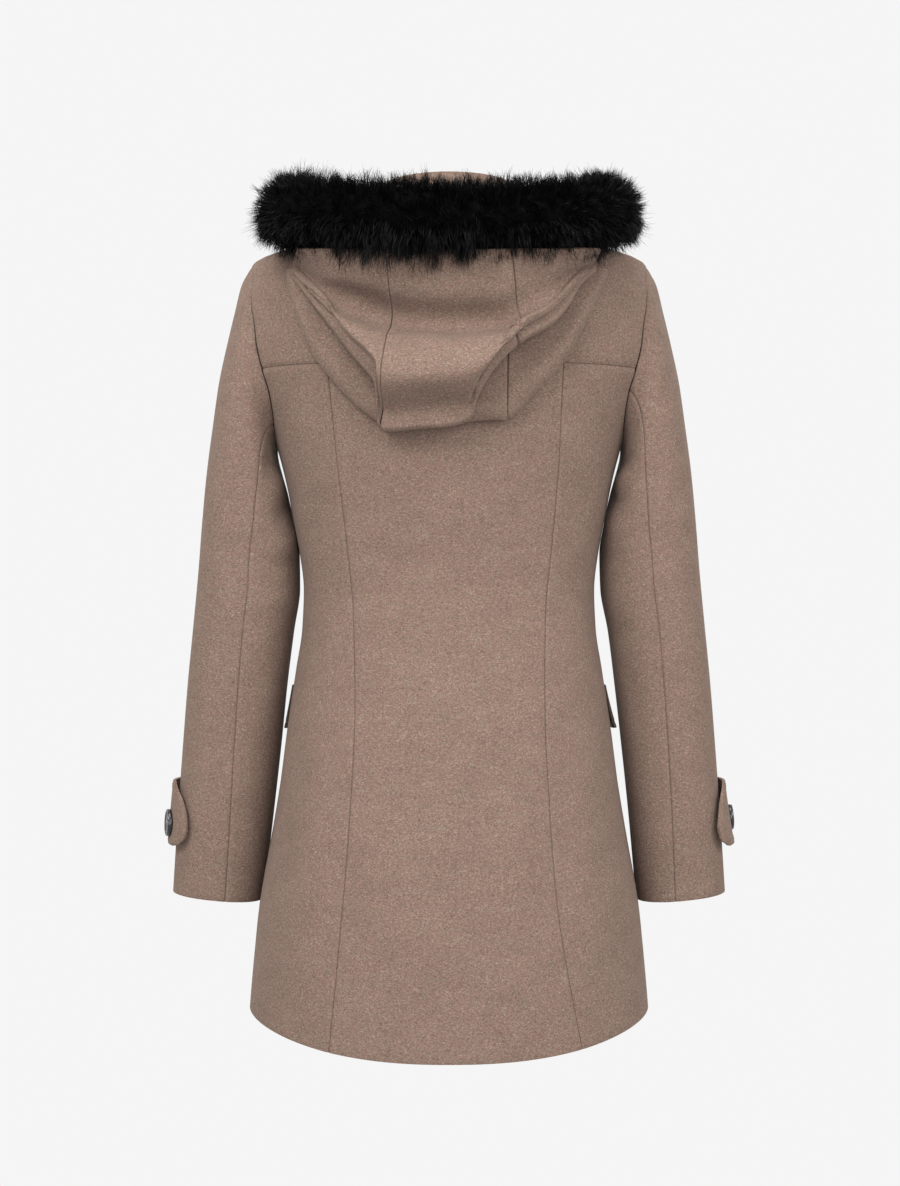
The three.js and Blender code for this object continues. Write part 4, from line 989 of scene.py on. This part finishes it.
def fastening(number, height):  # a toggle on its cord, held by a loop from the other side
    middle, cord, gap, half = (toggle[name] for name in ("middle", "cord", "gap", "loopHalf"))
    low = gap + cord + 0.1
    high = low + 2 * cord + gap
    loopStart = patch["rightStart"] - gap
    straight = [loopStart, loopStart - 20, middle + 8]
    bend = [(middle - half * math.cos(math.radians(a)), half * math.sin(math.radians(a)))
            for a in (60, 0, -60)]
    loop = [(x, half) for x in straight] + bend + [(x, -half) for x in straight[::-1]]
    cordAlong(f"toggle_loop_{number}", [overFront(x, height + z, low) for x, z in loop], 200)
    cordStart = patch["leftStart"] + patch["width"] + gap
    held = [cordStart, cordStart + 6, cordStart + toggle["rise"], middle - 14, middle]
    cordAlong(f"toggle_cord_{number}",
              [overFront(x, height, low if i < 2 else high) for i, x in enumerate(held)], 90)
    toggleBarrel(f"toggle_{number}", height, high + cord + gap + toggle["radius"])
    frontPatch(f"toggle_patch_left_{number}", patch["leftStart"], height)
    frontPatch(f"toggle_patch_right_{number}", patch["rightStart"], height)


for number, height in enumerate(toggle["heights"]):
    fastening(number + 1, height)
print("front fastened with toggles")


collar = {"wall": 3, "backHeight": 36, "frontHeight": 32, "lean": 0.9, "endAngle": 176}


def collarStand():
    def surface(u, v):
        angle = u * math.radians(collar["endAngle"])
        height = mix(collar["backHeight"], collar["frontHeight"], (1 - np.cos(angle)) / 2)
        depth = np.where(np.cos(angle) > 0, -coat["neckBack"], -coat["neckFront"])
        shrink = mix(1, collar["lean"], v)
        return np.stack([coat["neckHalfWidth"] * np.sin(angle) * shrink, depth * np.cos(angle) * shrink,
                         necklineHeight(angle) + 3 * coat["seamGap"] + height * v], -1)
    folds = [([(-0.35, 0.1), (-0.3, 0.9)], 0.03, -0.8), ([(0.2, 0.1), (0.24, 0.9)], 0.03, 0.7)]
    clothPiece("collar_stand", np.linspace(-1, 1, 150), denser(16), surface,
               seams=("bottom",), folds=lambda p, u, v: foldLift(folds, u, v), wall=collar["wall"],
               edgeRound=1.2)


collarStand()


furForm = {  # middle line of the fur roll from the centre back to its end at the front of the neck
    "at": [0, 0.14, 0.27, 0.4, 0.5, 0.62, 0.75, 0.88, 0.97, 1],
    "x": [0, 52, 98, 139, 151, 141, 120, 95, 68, 60],
    "y": [-151, -149, -141, -122, -80, -18, 45, 99, 131, 137],
    "z": [-29, -27, -24, -17, -3, 11, 13, -14, -52, -64],
    "radius": [41, 41, 41, 40, 35, 31, 31, 30, 26, 14],
}
furCurves = {name: curve(furForm, "at", name) for name in furForm if name != "at"}


def furMiddle(at):
    at = np.asarray(at, float)
    share = np.abs(at)
    return np.stack([np.where(at < 0, -1, 1) * furCurves["x"](share),
                     furCurves["y"](share), furCurves["z"](share)], -1)


hoodForm = {  # the pouch from the left shoulder (-1) to the right one (1)
    "u":         [-1, -0.83, -0.67, -0.5, -0.4, -0.33, -0.29, -0.26, -0.1,
                  0.04, 0.1, 0.14, 0.2, 0.26, 0.4, 0.55, 0.75, 1],
    "foldX": [-150, -140, -126, -107, -88, -70, -62, -59, -25, 8, 22, 31, 42, 54, 79, 103, 122, 146],
    "foldZ": [-74, -108, -144, -170, -191, -207, -213, -216, -216,
              -213, -211, -210, -209.5, -208.5, -184, -157, -125, -74],
    "edgeX": [-146, -125, -105, -84, -72, -63.5, -61.5, -59.5, -25,
              8, 20, 25, 37, 59, 88, 103, 116, 134],
    "edgeZ": [-72, -97, -123, -150, -164, -176, -200, -218, -218,
              -215, -208, -190, -168, -144, -125.5, -109, -88, -72],
    "edgeLift": [17, 25, 31, 35, 37, 37, 32, 25, 27, 27, 29, 36, 41, 43, 38, 33, 26, 17],
    "bulgeX": [-143, -122, -101, -79, -67, -60, -58, -55, -22, 8, 21, 30, 42, 60, 84, 97, 113, 133],
    "bulgeZ": [-69, -90, -112, -137, -149, -158, -168, -172, -174,
               -173, -168, -162, -150, -130, -115, -101, -83, -69],
    "bulgeLift": [20, 29, 38, 46, 50, 52, 54, 55, 60, 60, 58, 56, 54, 51, 45, 39, 30, 20],
    "valleyX": [-141, -120, -105, -86, -73, -60, -56, -52, -20, 8, 22, 31, 44, 59, 79, 91, 109, 132],
    "valleyZ": [-68, -82, -92, -104, -109, -113, -114, -115, -117,
                -118, -118, -117, -115, -108, -101, -92, -79, -68],
    "valleyLift": [20, 25, 28, 30, 31, 31, 31, 31, 33, 34, 35, 35, 36, 38, 37, 35, 28, 20],
    "furAt":     [-0.41, -0.37, -0.33, -0.26, -0.21, -0.18, -0.165, -0.155, -0.06,
                  0.03, 0.06, 0.09, 0.12, 0.155, 0.22, 0.28, 0.35, 0.41],
}
hood = {"seam": 0.26, "neckLift": 2, "innerLift": 2.4, "foldLift": 9, "lowerLift": 17, "tuck": 9,
        "meet": -7, "meetAtSide": 3, "wall": 2.3}


def hoodProfiles():
    columns = {name: np.array(values, float) for name, values in hoodForm.items()}
    u = columns["u"]
    neckX = coat["neckHalfWidth"] * np.sin(np.radians(u * 74))
    start = np.stack([neckX * 1.02, -coat["neckBack"] * 1.02 * np.cos(np.radians(u * 74)),
                      u * 0 + hood["neckLift"]], -1)

    def over(share, name, lift):
        return overBack(mix(columns[name + "X"], neckX, share),
                        mix(columns[name + "Z"], -6, share), lift + 0 * u)
    edgeLift = columns["edgeLift"]
    standOff = furCurves["radius"](0) + mix(hood["meet"], hood["meetAtSide"], u ** 2)
    meet = furMiddle(columns["furAt"]) + np.array([0, -0.5, -0.866]) * standOff[:, None]
    return np.stack([
        start, over(0.86, "fold", hood["innerLift"]), over(0.6, "fold", hood["innerLift"]),
        over(0.35, "fold", hood["innerLift"]), over(0.12, "fold", hood["innerLift"]),
        over(0, "fold", hood["foldLift"]), over(0.06, "fold", hood["lowerLift"]),
        over(0.09, "edge", np.minimum(hood["tuck"], edgeLift * 0.6)), over(0, "edge", edgeLift * 0.78),
        over(0.012, "edge", edgeLift), over(0.08, "edge", edgeLift * 1.08),
        over(0, "bulge", columns["bulgeLift"]), over(0, "valley", columns["valleyLift"]), meet], 1)


hoodPoints = hoodProfiles()
hoodFolds = [  # lines of (x, z) on the outer layer
    ([(-156, -80), (-132, -87), (-96, -102), (-58, -114),
      (0, -119), (52, -116), (100, -96), (136, -76)], 13, -12),
    ([(-124, -88), (-84, -104), (-40, -116), (0, -119), (44, -118), (84, -106)], 12, -8),
    ([(-118, -90), (-84, -98), (-54, -110)], 11, -5),
    ([(-128, -98), (-98, -122), (-66, -140)], 13, 2.6),
    ([(-132, -72), (-104, -80), (-74, -92)], 9, 2.0),
    ([(-52, -148), (0, -152), (40, -144)], 17, 2.2),
    ([(-44, -196), (-10, -200), (18, -192)], 14, -1.6),
    ([(20, -196), (34, -170), (50, -150)], 7, 2.0),
    ([(28, -206), (44, -182), (62, -158)], 7, -4.5),
    ([(66, -110), (86, -100), (108, -88)], 9, 2.2),
    ([(-40, -84), (0, -88), (44, -84)], 12, 1.6),
]


def hoodPiece(name, start, stop, columns):
    edge = len(hoodPoints[0]) - 5

    def surface(u, v):
        places = np.interp(u[0], hoodForm["u"], np.arange(len(hoodForm["u"])))
        across = spline(hoodPoints, places).transpose(1, 0, 2)
        return spline(across, v[:, 0])
    inset = 0.0009
    ends = (start + inset * (start > -1), stop - inset * (stop < 1))
    rows = np.concatenate([
        np.linspace(0, 4, 30)[:-1], np.linspace(4, edge, 56)[:-1], np.linspace(edge, 13, 62)])
    seams = [seam for seam, sewn in (("left", start > -1), ("right", stop < 1)) if sewn]
    clothPiece(name, denser(columns, *ends), rows, surface, seams=seams, wall=hood["wall"],
               folds=lambda p, u, v: (
                   foldLift(hoodFolds, p[..., 0], p[..., 2]) * smoothstep(v, edge - 0.3, edge + 0.8)))


hoodPiece("hood_centre", -hood["seam"], hood["seam"], 44)
hoodPiece("hood_side_left", -1, -hood["seam"], 48)
hoodPiece("hood_side_right", hood["seam"], 1, 48)
print("hood turned down")


furTrim = {
    "coreShrink": 12, "around": 40, "stations": 150, "coreLump": 1.6,
    "tuftGap": 6.4, "hairsPerTuft": 20, "hairLength": 14.5, "hairSpread": 3.2, "lengthSpread": 0.26,
    "lean": 0.3, "droop": 0.12, "converge": 0.6, "hairWidth": 0.5, "strayShare": 0.05, "pieces": 4,
    "longFrom": -98, "longTo": 22, "longer": 0.4, "fringeGap": 2.6,
}


def furFrame(at):  # middle, ahead, outward and upward at places along the roll
    middle = furMiddle(at)
    ahead = unit(furMiddle(np.minimum(1, at + 0.01)) - furMiddle(np.maximum(-1, at - 0.01)))
    out = unit(np.cross(np.array([0, 0, 1.0]), ahead))
    return middle, ahead, out, np.cross(ahead, out)


def furCore():
    around, stations = furTrim["around"], furTrim["stations"]
    made = bmesh.new()
    bmesh.ops.create_cone(made, cap_ends=True, cap_tris=True, segments=around, radius1=1, radius2=1, depth=1)
    lengthwise = [edge for edge in made.edges if abs(edge.verts[0].co.z - edge.verts[1].co.z) > 0.5]
    bmesh.ops.subdivide_edges(made, edges=lengthwise, cuts=stations, use_grid_fill=True)
    mesh = bpy.data.meshes.new("fur core")
    made.to_mesh(mesh)
    made.free()
    flat = np.empty(len(mesh.vertices) * 3)
    mesh.vertices.foreach_get("co", flat)
    x, y, z = flat.reshape(-1, 3).T
    at, angle, reach = z * 2, np.arctan2(y, x), np.hypot(x, y)
    middle, _, out, up = furFrame(np.clip(at, -0.985, 0.985))
    lumps = np.sin(angle * 5 + at * 40) * np.sin(at * 67 + 1.3) + 0.7 * np.sin(angle * 9 - at * 90)
    radius = (furCurves["radius"](np.abs(at)) - furTrim["coreShrink"] + furTrim["coreLump"] * lumps) * reach
    radius = np.maximum(radius, 1.5 * reach)
    radial = out * np.cos(angle)[:, None] + up * np.sin(angle)[:, None]
    mesh.vertices.foreach_set("co", ((middle + radial * radius[:, None]) * millimetre).ravel())
    mesh.update()
    piece = bpy.data.objects.new("fur_backing", mesh)
    bpy.context.scene.collection.objects.link(piece)
    finishPiece(piece, "fur", ["fur_trim"], materials=["underfur"])


def furTufts():
    line = np.linspace(-1, 1, 801)
    length = np.concatenate([[0], np.cumsum(np.linalg.norm(np.diff(furMiddle(line), axis=0), axis=1))])
    tufts = []
    for walked in np.arange(2, length[-1] - 2, furTrim["tuftGap"]):
        at = np.interp(walked, length, line)
        girth = 2 * np.pi * (furCurves["radius"](abs(at)) - 5)
        count = max(6, int(girth / furTrim["tuftGap"]))
        angles = (np.arange(count) + random.uniform(0, 1)) * 2 * np.pi / count
        jitter = random.normal(0, 0.3, (2, count)) * furTrim["tuftGap"]
        place = np.interp(walked + jitter[0], length, line)
        tufts.append(np.stack([place, angles + jitter[1] / furCurves["radius"](abs(at))], 1))
    # a denser fringe over the hood's edge
    for walked in np.arange(length[190], length[610], furTrim["fringeGap"]):
        place = np.interp(walked + random.uniform(-2, 2, 3), length, line)
        low = 244 if furTrim["longFrom"] < furMiddle(place[0])[0] < furTrim["longTo"] else 228
        tufts.append(np.stack([place, np.radians(random.uniform(198, low, 3))], 1))
    return np.concatenate(tufts), length[-1]


def hairShapes():
    tufts, total = furTufts()
    each = furTrim["hairsPerTuft"]
    count = len(tufts)
    at, angle = np.repeat(tufts[:, 0], each), np.repeat(tufts[:, 1], each)
    middle, ahead, out, up = furFrame(tufts[:, 0])
    radial = out * np.cos(tufts[:, 1])[:, None] + up * np.sin(tufts[:, 1])[:, None]
    around = np.cross(ahead, radial)
    radius = furCurves["radius"](np.abs(tufts[:, 0]))
    lean = random.normal(0, furTrim["lean"], (2, count))
    tuftLength = furTrim["hairLength"] * (1 + random.normal(0, furTrim["lengthSpread"], count))
    low = smoothstep(-radial[:, 2], 0.0, 0.55)
    longer = low * smoothstep(middle[:, 0], furTrim["longFrom"] - 12, furTrim["longFrom"] + 12)
    longer *= 1 - smoothstep(middle[:, 0], furTrim["longTo"] - 10, furTrim["longTo"] + 10)
    tuftLength = tuftLength * (1 + 0.2 * low + furTrim["longer"] * longer)  # they hang over the hood's edge
    droop = furTrim["droop"] + 0.6 * low + 0.5 * longer
    way = unit(radial + ahead * lean[0][:, None] + around * lean[1][:, None]
               - droop[:, None] * np.array([0, 0, 1.0]))
    tip = middle + radial * (radius - furTrim["coreShrink"] - 1)[:, None] + way * tuftLength[:, None]

    def repeat(values):
        return np.repeat(values, each, axis=0)
    spread = random.normal(0, furTrim["hairSpread"], (2, count * each))
    hairMiddle, hairAhead, hairOut, hairUp = furFrame(np.clip(at + spread[0] * 2 / total, -1, 1))
    hairAngle = angle + spread[1] / repeat(radius)
    hairRadial = hairOut * np.cos(hairAngle)[:, None] + hairUp * np.sin(hairAngle)[:, None]
    root = hairMiddle + hairRadial * (furCurves["radius"](np.abs(at)) - furTrim["coreShrink"] - 2)[:, None]
    stray = random.uniform(0, 1, count * each) < furTrim["strayShare"]
    share = np.where(stray, 1.22, random.uniform(0.7, 1.04, count * each))
    hairWay = unit(hairRadial + random.normal(0, 0.24, (count * each, 3)))
    own = root + hairWay * (repeat(tuftLength) * share)[:, None]
    pull = np.where(stray, 0.15, furTrim["converge"])[:, None]
    end = mix(own, root + (repeat(tip) - root) * share[:, None], pull)
    bow = root + hairRadial * (repeat(tuftLength) * 0.55)[:, None]
    return root, bow, end, hairMiddle[:, 0]


def furHairs():
    root, bow, end, acrossX = hairShapes()
    order = np.argsort(acrossX)
    shares = np.array([0, 0.38, 0.72, 1.0])
    widths = np.array([1.0, 0.85, 0.55, 0.1]) * furTrim["hairWidth"] / 2
    for number, batch in enumerate(np.array_split(order, furTrim["pieces"])):
        strip = bmesh.new()
        bmesh.ops.create_grid(strip, x_segments=3, y_segments=2 * len(batch) - 1, size=0.5)
        strip.faces.ensure_lookup_table()
        between = [face for face in strip.faces if (face.index // 3) % 2 == 1]
        bmesh.ops.delete(strip, geom=between, context="FACES_ONLY")
        loose = [edge for edge in strip.edges if not edge.link_faces]
        bmesh.ops.delete(strip, geom=loose, context="EDGES")
        mesh = bpy.data.meshes.new("fur hairs")
        strip.to_mesh(mesh)
        strip.free()
        flat = np.empty(len(mesh.vertices) * 3)
        mesh.vertices.foreach_get("co", flat)
        column = np.rint((flat[0::3] + 0.5) * 3).astype(int)
        row = np.rint((flat[1::3] + 0.5) * (2 * len(batch) - 1)).astype(int)
        hair, edgeSide = row // 2, (row % 2) * 2 - 1
        a, b, c = (part[batch][hair] for part in (root, bow, end))
        t = shares[column][:, None]
        line = (1 - t) ** 2 * a + 2 * t * (1 - t) * b + t * t * c
        facing = random.normal(0, 1, (len(batch), 3))[hair]
        sideways = unit(np.cross(c - a, facing)) * (widths[column] * edgeSide)[:, None]
        mesh.vertices.foreach_set("co", ((line + sideways) * millimetre).ravel())
        mesh.update()
        piece = bpy.data.objects.new(f"fur_hairs_{number + 1}", mesh)
        bpy.context.scene.collection.objects.link(piece)
        finishPiece(piece, "fur", [])
        print("fur hairs:", len(batch), "of", len(order))


furCore()
furHairs()


studio = {
    "floorZ": -1.15, "floorShade": 0.915, "worldShade": 0.915,
    "lights": [  # place, size and power, each aimed at the coat's back
        ("key light", (-1.2, -2.0, 1.3), 1.4, 76),
        ("fill light", (1.7, -2.0, 0.7), 1.6, 46),
        ("low fill light", (0.2, -2.6, -0.5), 1.8, 26),
        ("top light", (0.0, -0.8, 2.0), 1.4, 33),
        ("front light", (0.6, 2.4, 0.9), 2.0, 40),
    ],
    "aim": (0, 0, -0.38),
}
photoView = {"place": (0.001, -1.9, -0.371), "lens": 57.7, "sensor": 36}


def plainStage():
    world = bpy.data.worlds.new("pale studio")
    bpy.context.scene.world = world
    world.use_nodes = True
    bpy.context.scene.view_settings.view_transform = "Standard"
    background = world.node_tree.nodes["Background"]
    background.inputs["Color"].default_value = [studio["worldShade"]] * 3 + [1]
    made = bmesh.new()
    bmesh.ops.create_grid(made, x_segments=1, y_segments=1, size=60)
    bmesh.ops.translate(made, verts=made.verts[:], vec=(0, 0, studio["floorZ"]))
    mesh = bpy.data.meshes.new("studio floor")
    made.to_mesh(mesh)
    made.free()
    floor = bpy.data.objects.new("studio_floor", mesh)
    bpy.context.scene.collection.objects.link(floor)
    material, shader = newMaterial("pale studio floor", Roughness=1.0)
    shader.inputs["Base Color"].default_value = (0, 0, 0, 1)
    shader.inputs["Specular IOR Level"].default_value = 0
    shader.inputs["Emission Color"].default_value = [studio["floorShade"]] * 3 + [1]
    shader.inputs["Emission Strength"].default_value = 1.0
    floor.data.materials.append(material)
    for name, place, size, power in studio["lights"]:
        lamp = bpy.data.lights.new(name, "AREA")
        lamp.shape, lamp.size, lamp.energy = "DISK", size, power
        light = bpy.data.objects.new(name, lamp)
        light.location = place
        light.rotation_euler = (Vector(studio["aim"]) - Vector(place)).to_track_quat("-Z", "Y").to_euler()
        bpy.context.scene.collection.objects.link(light)


def photoCamera():
    camera = bpy.data.cameras.new("photo camera")
    camera.lens, camera.sensor_width = photoView["lens"], photoView["sensor"]
    holder = bpy.data.objects.new("photo camera", camera)
    holder.location = photoView["place"]
    holder.rotation_euler = (math.pi / 2, 0, 0)
    bpy.context.scene.collection.objects.link(holder)
    bpy.context.scene.camera = holder


plainStage()
photoCamera()
bpy.context.view_layer.update()
